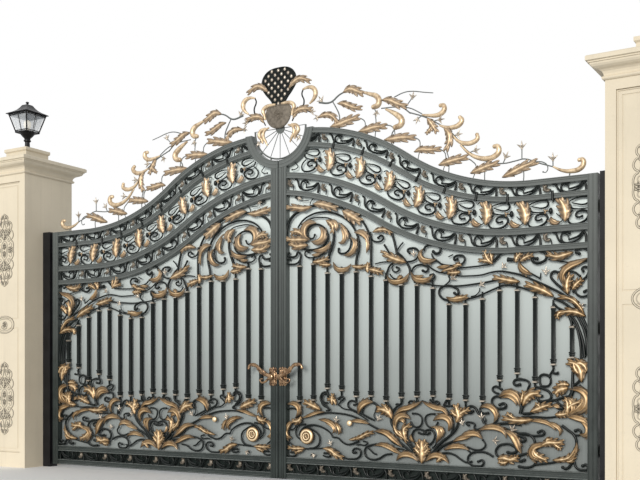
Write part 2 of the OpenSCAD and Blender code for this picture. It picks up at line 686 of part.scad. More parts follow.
// Forged bars of the lower panel.
lower_bars = [
    [20, 12, [[1362, 212], [1340, 300], [1240, 400], [1110, 472], [960, 530], [800, 580],
              [640, 608], [480, 610], [340, 592], [220, 550], [130, 495], [74, 430]]],
    [10, 8, [[1010, 508], [900, 524], [780, 540], [700, 540]]],
    [12, 8, [[880, 345], [790, 352], [700, 357], [640, 375], [590, 412], [520, 465],
             [430, 500], [330, 508], [240, 485], [187, 430], [190, 370], [240, 320],
             [320, 300], [390, 322], [416, 380], [390, 432], [315, 428]]],
    [12, 9, [[1345, 262], [1250, 285], [1150, 288], [1050, 260], [950, 237], [885, 252],
             [857, 300], [890, 345], [960, 370], [1060, 375]]],
    [9, 6, [[620, 212], [700, 232], [780, 248], [802, 288], [772, 316], [742, 292]]],
    [10, 7, [[1010, 508], [880, 590], [760, 650], [623, 702], [520, 722], [445, 735],
             [430, 772], [470, 797], [520, 788], [575, 768], [625, 770], [660, 755]]],
    [8, 8, [[262, 698], [343, 690], [400, 660], [452, 610]]],
    [10, 8, [[74, 672], [140, 686], [195, 672], [212, 620], [188, 575], [168, 522]]],
    [8, 6, [[690, 676], [700, 715], [740, 732], [778, 715], [765, 688]]],
    [10, 8, [[800, 632], [830, 690], [900, 722], [955, 700], [960, 660]]],
    [10, 7, [[1092, 480], [1052, 560], [1040, 640], [1043, 695]]],
    [14, 10, [[1375, 212], [1330, 300], [1205, 425], [1115, 520], [1097, 600],
              [1145, 685], [1235, 724], [1330, 738], [1390, 738]]],
    [14, 10, [[1405, 212], [1450, 290], [1520, 390], [1610, 480], [1680, 560],
              [1690, 650], [1640, 700], [1560, 724], [1460, 738], [1390, 738]]],
    [10, 8, [[1390, 212], [1388, 400], [1390, 560], [1390, 735]]],
    [8, 6, [[1388, 545], [1340, 528], [1290, 545], [1275, 590], [1310, 622], [1348, 600]]],
    [8, 6, [[1392, 545], [1440, 528], [1490, 545], [1505, 590], [1470, 622], [1432, 600]]],
    [8, 6, [[1388, 440], [1345, 452], [1330, 485], [1355, 502]]],
    [8, 6, [[1392, 440], [1435, 452], [1450, 485], [1425, 502]]],
    [8, 6, [[1388, 702], [1300, 705], [1200, 650], [1144, 570], [1162, 500], [1228, 470],
            [1258, 500]]],
    [8, 6, [[1392, 705], [1480, 672], [1565, 620], [1604, 560], [1588, 500], [1540, 478],
            [1518, 506]]],
    [8, 7, [[1688, 640], [1720, 680], [1743, 705]]],
    [16, 10, [[1422, 212], [1480, 320], [1600, 410], [1750, 470], [1880, 515],
              [2020, 522], [2110, 465], [2165, 400], [2185, 355]]],
    [12, 7, [[1425, 240], [1560, 322], [1680, 362], [1790, 345], [1870, 305], [1885, 262],
             [1845, 242], [1812, 266], [1830, 292]]],
    [10, 7, [[1760, 474], [1800, 560], [1852, 600], [1872, 650], [1838, 678], [1802, 655],
             [1815, 622]]],
    [10, 8, [[1866, 645], [1883, 686], [1922, 702], [1967, 685], [1998, 635], [1985, 575],
             [1945, 522]]],
    [11, 7, [[2000, 524], [2090, 600], [2175, 650], [2195, 720], [2150, 785], [2080, 805],
             [2012, 775], [2000, 730], [2036, 698], [2075, 712]]],
    [8, 6, [[2010, 778], [1985, 820], [2000, 856], [2025, 862], [2052, 842]]],
    [8, 6, [[2150, 785], [2190, 830], [2195, 880], [2163, 912], [2120, 895], [2113, 855],
            [2148, 842]]],
    [10, 7, [[2192, 690], [2250, 770], [2300, 834], [2370, 850], [2440, 900], [2470, 945],
             [2443, 980], [2408, 962]]],
    [8, 6, [[2248, 768], [2285, 738], [2345, 745], [2365, 785], [2335, 812],
            [2305, 792]]],
    [14, 8, [[2712, 640], [2692, 700], [2706, 765], [2660, 822], [2570, 832], [2498, 795],
             [2500, 742], [2560, 715], [2620, 738], [2610, 775]]],
    [10, 8, [[2712, 890], [2640, 930], [2590, 980], [2583, 1030]]],
    [12, 10, [[2160, 405], [2220, 445], [2300, 480], [2390, 550], [2450, 630],
              [2560, 675], [2712, 690]]],
    [8, 6, [[2185, 362], [2170, 300], [2205, 262], [2255, 275], [2262, 315],
            [2225, 326]]],
    [8, 6, [[2300, 480], [2360, 468], [2388, 502], [2352, 535], [2322, 515]]],
    [10, 8, [[2362, 212], [2330, 300], [2290, 370], [2250, 440], [2228, 452]]],
    [10, 8, [[2420, 212], [2450, 290], [2540, 312], [2620, 352], [2712, 420]]],
    [8, 6, [[2560, 320], [2600, 260], [2650, 238], [2695, 262], [2690, 305],
            [2652, 300]]],
    [10, 8, [[2712, 500], [2660, 520], [2600, 600], [2520, 660]]],
    [8, 6, [[2142, 428], [2090, 400], [2045, 365], [2060, 325], [2105, 325],
            [2112, 357]]],
    [8, 6, [[2290, 370], [2350, 420], [2440, 425], [2500, 398]]]
];

// Gilded leaves of the lower panel.
lower_foliage = [
    [34, 0.25, [[90, 680], [150, 685], [200, 650], [203, 600], [180, 565]]],
    [30, 0.2, [[265, 697], [343, 688], [400, 660], [450, 620]]],
    [50, 0.35, [[150, 540], [210, 548], [270, 562]]],
    [38, 0.3, [[140, 500], [102, 470], [100, 430], [130, 400]]],
    [44, 0.3, [[110, 292], [190, 308], [275, 295]]],
    [30, 0.2, [[450, 308], [530, 310], [595, 270], [655, 216]]],
    [32, 0.25, [[400, 550], [500, 540], [570, 500], [600, 415]]],
    [28, 0.2, [[705, 362], [800, 405], [860, 438], [912, 460]]],
    [34, 0.25, [[800, 640], [835, 692], [900, 715], [952, 690]]],
    [76, 0.35, [[1100, 600], [1050, 640], [975, 672]]],
    [30, 0.2, [[950, 358], [1030, 374], [1110, 335], [1165, 292]]],
    [40, 0.2, [[1350, 712], [1255, 682], [1172, 622], [1145, 560], [1160, 500]]],
    [50, 0.3, [[1130, 250], [1180, 288], [1260, 298], [1335, 268]]],
    [50, 0.3, [[1440, 268], [1500, 298], [1575, 296], [1630, 250]]],
    [96, 0.35, [[1390, 232], [1390, 310], [1390, 405]]],
    [40, 0.2, [[1400, 712], [1475, 675], [1562, 622], [1603, 560], [1590, 500]]],
    [24, 0.1, [[1470, 545], [1530, 590], [1590, 585]]],
    [22, 0.1, [[1490, 515], [1535, 482], [1532, 420]]],
    [76, 0.35, [[1650, 690], [1700, 640], [1775, 600]]],
    [32, 0.25, [[1885, 680], [1922, 700], [1968, 682], [1996, 620], [1975, 560]]],
    [34, 0.25, [[1650, 425], [1750, 468], [1830, 485], [1890, 480]]],
    [34, 0.25, [[1560, 325], [1640, 360], [1720, 366], [1795, 340]]],
    [34, 0.25, [[1900, 520], [2000, 528], [2080, 488], [2140, 430], [2178, 370]]],
    [40, 0.3, [[1980, 305], [2080, 318], [2180, 290]]],
    [34, 0.25, [[2005, 770], [2080, 800], [2145, 782], [2190, 715], [2180, 655]]],
    [50, 0.3, [[2225, 745], [2270, 792], [2330, 836]]],
    [38, 0.3, [[2290, 742], [2370, 705], [2465, 700]]],
    [38, 0.3, [[2020, 595], [2110, 615], [2210, 605], [2300, 590]]],
    [36, 0.25, [[2450, 640], [2560, 678], [2680, 695]]],
    [32, 0.2, [[2690, 800], [2610, 832], [2530, 815], [2498, 770]]],
    [66, 0.35, [[2700, 905], [2640, 945], [2600, 1000]]],
    [32, 0.25, [[2240, 590], [2340, 582], [2420, 550], [2475, 500]]],
    [60, 0.35, [[2285, 435], [2320, 370], [2385, 310]]],
    [44, 0.3, [[2350, 440], [2430, 425], [2512, 390]]],
    [34, 0.25, [[2445, 285], [2540, 314], [2612, 358], [2640, 420]]],
    [34, 0.25, [[2530, 650], [2610, 615], [2680, 575], [2680, 515]]]
];

lower_flowers = [[24, [700, 540]], [26, [540, 735]]];
rose = [[285, 400], 56];

// A five-petalled flower of radius r.
module flower(c, r) {
    translate(c) {
        circle(r = 0.5 * r);
        for (a = [0:72:288])
            rotate(a) translate([0.6 * r, 0]) circle(r = 0.4 * r);
    }
}

module upper_scrolls() {
    color(bar_col) upright(scroll_front, scroll_back) intersection() {
        union() {
            for (b = upper_bars)
                stem([for (p = b[2]) below_rail(p)], b[0] * bold, b[1] * bold, 2);
        }
        panel_above();
    }
}

module upper_leaves() {
    color(gilt_col) upright(scroll_front - leaf_t, scroll_front) intersection() {
        union() {
            for (f = upper_foliage)
                leaf([for (p = f[2]) below_rail(p)], f[0] * lush, f[1]);
            for (f = upper_flowers)
                flower(below_rail(f[1]), f[0] * grow);
        }
        panel_above();
    }
}

module lower_scrolls() {
    color(bar_col) upright(scroll_front, scroll_back) intersection() {
        union() {
            for (b = lower_bars)
                stem([for (p = b[2]) above_base(p)], b[0] * bold, b[1] * bold, 2);
        }
        panel_above();
    }
}

module lower_leaves() {
    color(gilt_col) upright(scroll_front - leaf_t, scroll_front) intersection() {
        union() {
            for (f = lower_foliage)
                leaf([for (p = f[2]) above_base(p)], f[0] * lush, f[1]);
            for (f = lower_flowers)
                flower(above_base(f[1]), f[0] * grow);
            flower(above_base(rose[0]), rose[1] * grow);
        }
        panel_above();
    }
}

// One unit of the running scroll in the narrow friezes, 345 long and 85 high:
// width at the start, width at the end, points from the unit's lower left corner,
// and steps between two points.
frieze_bars = [
    [14, 13, [[78, 86], [98, 80], [114, 52], [128, 26], [152, 8]], 1],
    [8, 8, [[72, -4], [68, 24], [56, 42], [34, 38]], 1],
    [12, 14, [[312, 76], [290, 40], [250, 14], [205, 4], [162, 10], [144, 34], [145, 60],
              [162, 80], [188, 83], [205, 72]], 1],
    [9, 8, [[152, 74], [182, 66], [198, 50], [202, 30]], 1],
    [10, 16, [[198, 26], [236, 34], [272, 46], [306, 74]], 1],
    [14, 17, [[308, 80], [324, 60], [329, 34], [330, -4]], 1]
];
frieze_foliage = [[28, 0.2, [[66, 42], [38, 36], [20, 58], [38, 80]]]];

// One unit of the acanthus band, 320 long and 200 high.
band_bars = [
    [7, 14, [[167, 168], [217, 186], [277, 196], [317, 190], [331, 168]], 1],
    [14, 7, [[331, 168], [315, 146], [277, 138], [235, 146], [197, 156]], 1],
    [12, 7, [[181, 146], [193, 120], [229, 110], [287, 108], [333, 112]], 1],
    [9, 16, [[203, 104], [173, 72], [163, 38], [181, 8], [221, 0], [269, 8], [307, 30],
             [325, 60]], 1],
    [16, 12, [[325, 60], [309, 86], [269, 94], [233, 82], [225, 60], [245, 48], [273, 54]],
     1],
    [8, 7, [[43, 176], [63, 196], [85, 190], [89, 166]], 1],
    [6, 8, [[71, 90], [99, 66], [121, 42], [99, 22], [59, 16]], 1]
];
band_foliage = [
    [60, 0.35, [[143, 22], [145, 90], [127, 150], [99, 196]]],
    [28, 0.3, [[101, 28], [69, 20], [37, 40], [29, 68]]]
];
band_bud = [[347, 112], 16];

// The straight or swan-necked field that a running ornament fills. Its units are
// drawn w wide and h high, and are stretched to fill the field from end to end.
module run_units(bars, foliage, bud, w, h, drop_a, drop_b) {
    mid = (drop_a + drop_b) / 2;
    from = distance(meet_in, mid);
    total = distance(stile_in, mid) - from;
    count = round(total / (w * grow));
    for (i = [-1:count - 1]) {
        step = total / count;
        for (b = bars)
            stem([for (p = b[2]) in_band(from + (i + p[0] / w) * step, p[1] / h - 0.5,
                                         drop_a, drop_b)], b[0] * bold, b[1] * bold,
                 b[3]);
        for (f = foliage)
            leaf([for (p = f[2]) in_band(from + (i + p[0] / w) * step, p[1] / h - 0.5,
                                         drop_a, drop_b)], f[0] * lush, f[1]);
        if (len(bud) > 0)
            translate(in_band(from + (i + bud[0][0] / w) * step, bud[0][1] / h - 0.5,
                              drop_a, drop_b))
                circle(r = bud[1] * grow);
    }
}

module clear_of_cradle() {
    difference() {
        children();
        translate([0, ring_z]) circle(r = cradle_out);
    }
}

module top_friezes() {
    color(bar_col) upright(scroll_front, scroll_back)
        for (d = [[drop_1, drop_2], [drop_5, drop_6]])
            clear_of_cradle() intersection() {
                run_units(frieze_bars, frieze_foliage, [], 345, 85, d[0], d[1]);
                swan_band(d[0], d[1]);
            }
}

module base_frieze() {
    count = round(inner_w / (345 * grow));
    step = inner_w / count;
    color(bar_col) upright(scroll_front, scroll_back) intersection() {
        for (i = [0:count - 1]) {
            for (b = frieze_bars)
                stem([for (p = b[2]) [meet_in + (i + p[0] / 345) * step,
                                      bottom_top + p[1] / 85 * base_frieze_h]],
                     b[0] * bold, b[1] * bold, b[3]);
            for (f = frieze_foliage)
                leaf([for (p = f[2]) [meet_in + (i + p[0] / 345) * step,
                                      bottom_top + p[1] / 85 * base_frieze_h]],
                     f[0] * lush, f[1]);
        }
        translate([meet_in, bottom_top]) square([inner_w, base_frieze_h]);
    }
}

module acanthus_band() {
    color(gilt_col) {
        upright(scroll_front, scroll_back) clear_of_cradle() intersection() {
            run_units(band_bars, [], band_bud, 320, 200, drop_3, drop_4);
            swan_band(drop_3, drop_4);
        }
        upright(scroll_front - leaf_t, scroll_front) clear_of_cradle() intersection() {
            run_units([], band_foliage, [], 320, 200, drop_3, drop_4);
            swan_band(drop_3, drop_4);
        }
    }
}

// Forged bars of the crest over the top rail.
crest_bars = [
    [14, 8, [[400, 3268], [510, 3255], [570, 3285], [640, 3312], [740, 3338], [810, 3310],
             [880, 3270], [960, 3222]]],
    [10, 8, [[590, 3020], [602, 3120], [562, 3210], [530, 3262]]],
    [10, 12, [[955, 3225], [1030, 3185], [1120, 3150], [1200, 3105], [1265, 3052]]],
    [14, 9, [[1250, 3062], [1400, 3000], [1500, 2940], [1600, 2850], [1700, 2750],
             [1800, 2655], [1900, 2600], [2050, 2560], [2200, 2570], [2320, 2530],
             [2450, 2482]]],
    [8, 5, [[1110, 3155], [1160, 3212], [1260, 3235], [1400, 3200]]],
    [9, 8, [[1050, 3130], [1120, 3092], [1180, 3040], [1200, 2990], [1165, 2948],
            [1112, 2930], [1092, 2870], [1100, 2800]]],
    [8, 8, [[955, 3225], [930, 3130], [950, 3040], [940, 2880]]],
    [9, 6, [[1375, 3012], [1450, 3000], [1520, 3000], [1560, 3030], [1550, 3072],
            [1512, 3075]]],
    [9, 6, [[1535, 2908], [1600, 2890], [1680, 2880], [1730, 2910], [1728, 2952],
            [1690, 2960]]],
    [9, 6, [[1628, 2830], [1680, 2780], [1760, 2742], [1832, 2752], [1870, 2792],
            [1848, 2815]]],
    [9, 6, [[1738, 2715], [1820, 2655], [1900, 2618], [1980, 2622], [2040, 2660],
            [2020, 2700], [1982, 2702]]],
    [9, 6, [[2440, 2488], [2500, 2447], [2600, 2436], [2680, 2460], [2688, 2508],
            [2650, 2522]]],
    [8, 8, [[1440, 2982], [1465, 2900], [1430, 2800], [1440, 2590]]],
    [8, 8, [[1590, 2862], [1605, 2780], [1580, 2680], [1600, 2520]]],
    [8, 8, [[1900, 2600], [1880, 2540], [1900, 2430]]],
    [8, 8, [[2200, 2570], [2240, 2480], [2210, 2385]]],
    [8, 8, [[2570, 2438], [2545, 2385]]],
    [8, 6, [[770, 3068], [840, 3040], [850, 2985], [830, 2930]]],
    [8, 6, [[1020, 2990], [1100, 2965], [1125, 2900], [1100, 2800]]],
    [8, 6, [[1285, 2868], [1345, 2830], [1350, 2770], [1330, 2660]]],
    [8, 6, [[1500, 2745], [1562, 2705], [1568, 2630], [1550, 2545]]],
    [8, 6, [[1742, 2632], [1815, 2592], [1825, 2540], [1800, 2455]]],
    [8, 5, [[2330, 2385], [2322, 2450], [2360, 2508], [2408, 2500], [2400, 2468],
            [2372, 2470]]],
    [6, 6, [[1215, 3100], [1270, 3172]]],
    [6, 6, [[1340, 3030], [1312, 2992]]],
    [6, 6, [[1490, 2942], [1560, 2962]]],
    [6, 6, [[1655, 2795], [1700, 2822]]],
    [6, 6, [[1798, 2655], [1850, 2682]]],
    [6, 6, [[2050, 2560], [2070, 2620]]],
    [6, 6, [[2440, 2484], [2440, 2556]]],
    [6, 6, [[2200, 2568], [2200, 2668]]]
];

crest_foliage = [
    [50, 0.35, [[520, 3038], [650, 3074], [785, 3062]]],
    [50, 0.35, [[785, 2966], [900, 2992], [1035, 2986]]],
    [50, 0.35, [[1040, 2856], [1160, 2890], [1295, 2864]]],
    [50, 0.35, [[1280, 2706], [1400, 2752], [1515, 2742]]],
    [50, 0.35, [[1498, 2585], [1620, 2642], [1755, 2630]]],
    [50, 0.35, [[1745, 2484], [1870, 2545], [2000, 2535]]],
    [50, 0.35, [[2038, 2416], [2170, 2490], [2300, 2482]]],
    [42, 0.3, [[352, 3112], [430, 3142], [520, 3148], [575, 3105], [592, 3055]]],
    [60, 0.35, [[680, 3325], [760, 3322], [835, 3275]]],
    [60, 0.35, [[890, 3265], [950, 3222], [1005, 3160]]],
    [36, 0.25, [[560, 3222], [640, 3222], [740, 3188], [830, 3155]]],
    [56, 0.35, [[1020, 3195], [1120, 3155], [1220, 3095]]],
    [28, 0.2, [[1440, 2990], [1460, 2930], [1420, 2870]]],
    [28, 0.2, [[1590, 2880], [1602, 2800], [1572, 2720]]]
];

crest_flowers = [
    [20, [430, 3285]], [20, [958, 3085]], [20, [1270, 3178]], [20, [1312, 2990]],
    [22, [1565, 2962]], [22, [1705, 2824]], [22, [1855, 2684]], [22, [2072, 2624]],
    [22, [2440, 2562]], [24, [2200, 2680]]
];

module crest() {
    thick = scroll_t + leaf_t;
    color(gilt_col) upright(-thick / 4, thick / 4) difference() {
        union() {
            for (b = crest_bars)
                stem([for (p = b[2]) above_rail(p)], b[0] * bold, b[1] * bold, 2);
            for (f = crest_foliage)
                leaf([for (p = f[2]) above_rail(p)], f[0] * lush, f[1]);
            for (f = crest_flowers)
                flower(above_rail(f[1]), f[0] * grow);
        }
        swan_band(0, drop_7);
    }
}

// HANDLES

plate_x = meet_x + meeting_stile_w / 2;
plate_w = 44;
plate_t = 8;

module handle_plate() {
    color(bronze_col) upright(-frame_d / 2 - plate_t, -frame_d / 2)
        translate([plate_x, handle_z]) difference() {
            union() {
                circle(r = 0.72 * plate_w);
                translate([-plate_w / 4, -0.58 * plate_h]) square([plate_w / 2, plate_h]);
                for (z = [-0.58, 0.42])
                    translate([0, z * plate_h]) circle(r = 0.42 * plate_w);
                translate([0, 0.42 * plate_h + 0.5 * plate_w]) circle(r = 0.22 * plate_w);
                translate([0, -0.58 * plate_h - 0.5 * plate_w]) circle(r = 0.22 * plate_w);
            }
            circle(r = spindle_r + 1);
        }
}

// The lever is drawn for a reach of 250: a rising arm with a curled end, and a hook
// under it.
module lever() {
    y = -frame_d / 2 - plate_t;
    k = lever_reach / 250;
    color(bronze_col) {
        translate([plate_x, y, handle_z]) rotate([90, 0, 0]) cylinder(r = spindle_r, h = 40);
        upright(y - 54, y - 38) translate([plate_x, handle_z]) {
            circle(r = 24);
            stem(k * [[0, 0], [60, 10], [120, 22], [175, 48], [215, 88], [246, 100],
                      [262, 80], [248, 66]], 32, 11);
            stem(k * [[20, -4], [55, -30], [95, -50], [130, -44], [136, -24], [120, -18]],
                 20, 8);
        }
    }
}

// CREST MEDALLION

module at_ring() {
    translate([pier_x, -pier_back, 0]) children();
}

ring_out = cradle_r - ring_clear;
ring_d = 20;
medal_front = -42;
hub_r = 45;
wire_w = 7;

// The medallion is drawn for a ring of radius 277, from the ring's centre.
medal = ring_out / 277;

shell_half = [[50, 208], [82, 257], [140, 322], [172, 376], [168, 425], [145, 472],
              [104, 505], [56, 520], [0, 524]];
shield_half = [[0, 0], [60, 12], [105, 50], [125, 100], [128, 150], [105, 185],
               [50, 196], [0, 198]];

medal_bars = [
    [18, 16, [[0, 206], [55, 206], [112, 194], [134, 152], [131, 92]]],
    [16, 10, [[250, 135], [300, 155], [356, 188], [380, 235], [364, 282], [320, 308],
              [262, 300]]],
    [14, 9, [[132, 95], [150, 30], [185, -10], [200, -50], [180, -92]]],
    [15, 8, [[88, 34], [150, -8], [172, -60], [142, -108], [115, -148]]],
    [7, 6, [[165, -92], [232, -114]]],
    [8, 7, [[250, 132], [300, 95], [338, 78]]]
];
medal_foliage = [
    [50, 0.3, [[140, 66], [168, 112], [225, 142], [290, 132], [345, 112]]],
    [46, 0.3, [[90, 285], [150, 365], [225, 398], [325, 350]]],
    [30, 0.25, [[60, 208], [110, 218], [165, 190], [170, 140]]],
    [28, 0.2, [[158, 0], [205, -30], [202, -75]]]
];
medal_flowers = [[18, [345, 90]], [17, [232, -98]]];

module shell_outline() {
    e = len(shell_half) - 1;
    p = concat(smooth(shell_half, 2), [for (i = [e - 1:-1:0]) [-shell_half[i][0], shell_half[i][1]]]);
    polygon(medal * p);
}

module shield_outline(k = 1) {
    right = smooth(shield_half, 2);
    e = len(right) - 1;
    translate([0, medal * 100])
        polygon(k * medal * concat([for (p = right) p - [0, 100]],
                                   [for (i = [e - 1:-1:1]) [-right[i][0], right[i][1] - 100]]));
}

module crest_ring() {
    color(frame_col) at_ring() upright(-ring_d / 2, ring_d / 2) translate([0, ring_z]) {
        difference() {
            circle(r = ring_out);
            circle(r = ring_out - ring_w);
            translate([-cradle_r, ring_w]) square(2 * cradle_r);
        }
        circle(r = hub_r);
        for (a = [180:22.5:360])
            rotate(a) translate([0, -wire_w / 2]) square([ring_out - ring_w / 2, wire_w]);
        intersection() {
            difference() {
                circle(r = cradle_r);
                circle(r = ring_out - ring_w / 2);
            }
            for (a = [200, 225, 250])
                rotate(a) translate([0, -10]) square([cradle_r + 1, 20]);
        }
    }
}

// A shell set with rows of pearls inside a raised rim.
module crest_shell() {
    step_x = 34;
    step_z = 36;
    relief = 8;
    color(bar_col) at_ring() {
        upright(medal_front + 12 + relief, -ring_d / 2)
            translate([0, ring_z]) shell_outline();
        upright(medal_front + 12, medal_front + 12 + relief)
            translate([0, ring_z]) intersection() {
                shell_outline();
                union() {
                    for (s = [-1, 1])
                        stem([for (p = shell_half) medal * [s * p[0], p[1]]], 22, 22, 2);
                    for (i = [0:8], k = [-5:5])
                        if ((i + k) % 2 == 0)
                            translate(medal * [step_x * k, 212 + step_z * i])
                                circle(r = 12 * medal);
                }
            }
    }
}

module crest_shield() {
    rosette_z = 130;
    color(shield_col) at_ring() {
        upright(medal_front + 14, -ring_d / 2) translate([0, ring_z]) shield_outline();
        upright(medal_front + 8, medal_front + 14) translate([0, ring_z]) {
            difference() {
                shield_outline();
                shield_outline(0.86);
            }
            flower([0, medal * rosette_z], 46 * medal);
        }
    }
}

module crest_leaves() {
    color(gilt_col) at_ring() upright(medal_front, -ring_d / 2)
        translate([0, ring_z]) difference() {
            for (s = [0, 1]) mirror([s, 0, 0]) {
                for (b = medal_bars)
                    stem(medal * b[2], b[0] * medal, b[1] * medal, 2);
                for (f = medal_foliage)
                    leaf(medal * f[2], f[0] * medal, f[1]);
                for (f = medal_flowers)
                    flower(medal * f[1], f[0] * medal);
            }
            shell_outline();
            shield_outline();
        }
}

pier(-1);  // left_pier
pier(1);  // right_pier
pier_cap(-1);  // left_pier_cap
pier_cap(1);  // right_pier_cap
lantern_frame(-1);  // left_lantern_frame
lantern_frame(1);  // right_lantern_frame
lantern_glass(-1);  // left_lantern_glass
lantern_glass(1);  // right_lantern_glass
on_side(-1) hinge_post();  // left_hinge_post
on_side(1) hinge_post();  // right_hinge_post
on_side(-1) hinge_stile();  // left_hinge_stile
on_side(1) hinge_stile();  // right_hinge_stile
on_side(-1) meeting_stile();  // left_meeting_stile
on_side(-1) cradle();  // left_cradle
on_side(1) meeting_stile();  // right_meeting_stile
on_side(1) cradle();  // right_cradle
on_side(-1) swan_neck_rails();  // left_swan_neck_rails
on_side(1) swan_neck_rails();  // right_swan_neck_rails
on_side(-1) base_rails();  // left_base_rails
on_side(1) base_rails();  // right_base_rails
on_side(-1) backing_sheet();  // left_backing_sheet
on_side(1) backing_sheet();  // right_backing_sheet
on_side(-1) bars();  // left_bars
on_side(1) bars();  // right_bars
on_side(-1) top_friezes();  // left_top_friezes
on_side(1) top_friezes();  // right_top_friezes
on_side(-1) base_frieze();  // left_base_frieze
on_side(1) base_frieze();  // right_base_frieze
on_side(-1) acanthus_band();  // left_acanthus_band
on_side(1) acanthus_band();  // right_acanthus_band
on_side(-1) upper_scrolls();  // left_upper_scrolls
on_side(1) upper_scrolls();  // right_upper_scrolls
on_side(-1) upper_leaves();  // left_upper_leaves
on_side(1) upper_leaves();  // right_upper_leaves
on_side(-1) lower_scrolls();  // left_lower_scrolls
on_side(1) lower_scrolls();  // right_lower_scrolls
on_side(-1) lower_leaves();  // left_lower_leaves
on_side(1) lower_leaves();  // right_lower_leaves
on_side(-1) crest();  // left_crest
on_side(1) crest();  // right_crest
on_side(-1) handle_plate();  // left_handle_plate
on_side(1) handle_plate();  // right_handle_plate
on_side(-1) lever();  // left_lever
on_side(1) lever();  // right_lever
crest_ring();
crest_shell();
crest_shield();
crest_leaves();
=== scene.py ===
"""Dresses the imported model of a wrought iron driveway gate: moulded rails, forged
scrolls, gilded leaves, a crest with a shell, carved piers, lanterns and finishes."""

import math

import bmesh
import bpy
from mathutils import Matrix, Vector


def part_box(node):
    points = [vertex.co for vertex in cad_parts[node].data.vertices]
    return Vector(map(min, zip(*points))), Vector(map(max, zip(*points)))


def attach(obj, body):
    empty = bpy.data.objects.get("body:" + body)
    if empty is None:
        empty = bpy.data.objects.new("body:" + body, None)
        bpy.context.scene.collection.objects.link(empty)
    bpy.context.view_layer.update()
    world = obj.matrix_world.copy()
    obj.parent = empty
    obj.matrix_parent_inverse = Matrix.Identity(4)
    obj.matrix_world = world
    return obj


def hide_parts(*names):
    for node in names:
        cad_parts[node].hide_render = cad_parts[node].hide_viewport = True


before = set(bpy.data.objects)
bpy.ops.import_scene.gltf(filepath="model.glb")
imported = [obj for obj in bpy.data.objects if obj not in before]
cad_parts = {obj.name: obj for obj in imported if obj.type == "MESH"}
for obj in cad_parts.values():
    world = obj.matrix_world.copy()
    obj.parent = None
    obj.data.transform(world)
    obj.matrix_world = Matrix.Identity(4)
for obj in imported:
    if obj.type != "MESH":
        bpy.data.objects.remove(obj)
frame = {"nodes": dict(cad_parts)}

bl_info = {
    "name": "Driveway Gate Dresser",
    "version": (1, 0, 0),
    "blender": (4, 5, 0),
    "location": "3D View > Sidebar > Gate",
    "description": "Scrolls, gilded leaves, mouldings and finishes of a driveway gate",
    "category": "Object",
}

# Places that come from the frame, in millimetres from the gate's centre line. The
# ornament is drawn on a leaf whose clear field runs from 81 to 2705.
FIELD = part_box("right_base_rails")
GATE_X = (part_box("left_base_rails")[1].x + FIELD[0].x) / 2
GATE_Y = (FIELD[0].y + FIELD[1].y) / 2
MEET_IN = (FIELD[0].x - GATE_X) * 1000
STILE_IN = (FIELD[1].x - GATE_X) * 1000
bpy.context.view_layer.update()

# Drops of the swan-necked rails' edges below the top edge.
RAIL_EDGES = ((0, 45), (115, 155), (355, 405), (495, 540))
NARROW_FRIEZES = ((45, 115), (405, 495))
WIDE_BAND = (155, 355)
# Length and height of one drawn unit of the friezes and of the band.
FRIEZE_UNIT, BAND_UNIT = (345, 85), (320, 200)
# Heights of the top edge beside the crest and beside the piers, and of the ring's centre.
TOP_HIGH, TOP_LOW, RING_Z = 3065, 2400, 3100
# Where the top edge's swan neck starts and ends, and how much nearer to the centre both
# are at the lowest edge.
NECK_START, NECK_END = 200, 2300
NECK_LEAD, NECK_TRAIL = 450, 150
# Height of the levers and depth of the piers' sunk panels in millimetres, and height of the
# lanterns' feet in metres.
HANDLE_Z = 920
PANEL_SINK = 18
LANTERN_FOOT = 3.3
SIDES = ("left", "right")
UPRIGHT = (math.pi / 2, 0, 0)


def neck(drop):
    """Where the swan neck starts and ends at a drop below the top edge, its radius and
    the turn of each of its two arcs."""
    share, fall = drop / RAIL_EDGES[-1][1], TOP_HIGH - TOP_LOW
    start, end = NECK_START - NECK_LEAD * share, NECK_END - NECK_TRAIL * share
    radius = ((end - start) ** 2 + fall ** 2) / (4 * fall)
    return start, end, radius, math.asin((end - start) / 2 / radius)


def way_along(x, drop):
    """Distance along the curve from the start of its neck to the place x."""
    start, end, radius, turn = neck(drop)
    if x <= start:
        return x - start
    if x < (start + end) / 2:
        return radius * math.asin((x - start) / radius)
    if x < end:
        return 2 * radius * turn - radius * math.asin((end - x) / radius)
    return 2 * radius * turn + x - end


def point_on(way, drop):
    """Place on the curve at a distance along it, and the slope there."""
    start, end, radius, turn = neck(drop)
    arc = radius * turn
    if way <= 0:
        return start + way, TOP_HIGH - drop, 0
    if way < arc:
        a = way / radius
        return start + radius * math.sin(a), TOP_HIGH - drop - radius * (1 - math.cos(a)), a
    if way < 2 * arc:
        a = (2 * arc - way) / radius
        return end - radius * math.sin(a), TOP_LOW - drop + radius * (1 - math.cos(a)), a
    return end + way - 2 * arc, TOP_LOW - drop, 0


def in_band(way, share, drops):
    """Place at a share of a band's width above its middle line."""
    x, z, slope = point_on(way, sum(drops) / 2)
    width = (drops[1] - drops[0]) * math.cos(slope)
    return x + share * width * math.sin(slope), z + share * width * math.cos(slope)


def polar(radius, degrees):
    """A place in the drawing at a distance and a direction from its origin."""
    angle = math.radians(degrees)
    return radius * math.cos(angle), radius * math.sin(angle)


def volute(a, b, start, turn):
    """A spiral round the origin from radius a to radius b, in degrees."""
    n = math.ceil(abs(turn) / 45)
    return [polar(a + (b - a) * i / n, start + turn * i / n) for i in range(n + 1)]


# The ornament as it was read off, in millimetres from the gate's centre line and the
# ground. Bars are (start width, end width, points), leaves and horns (width, spine).

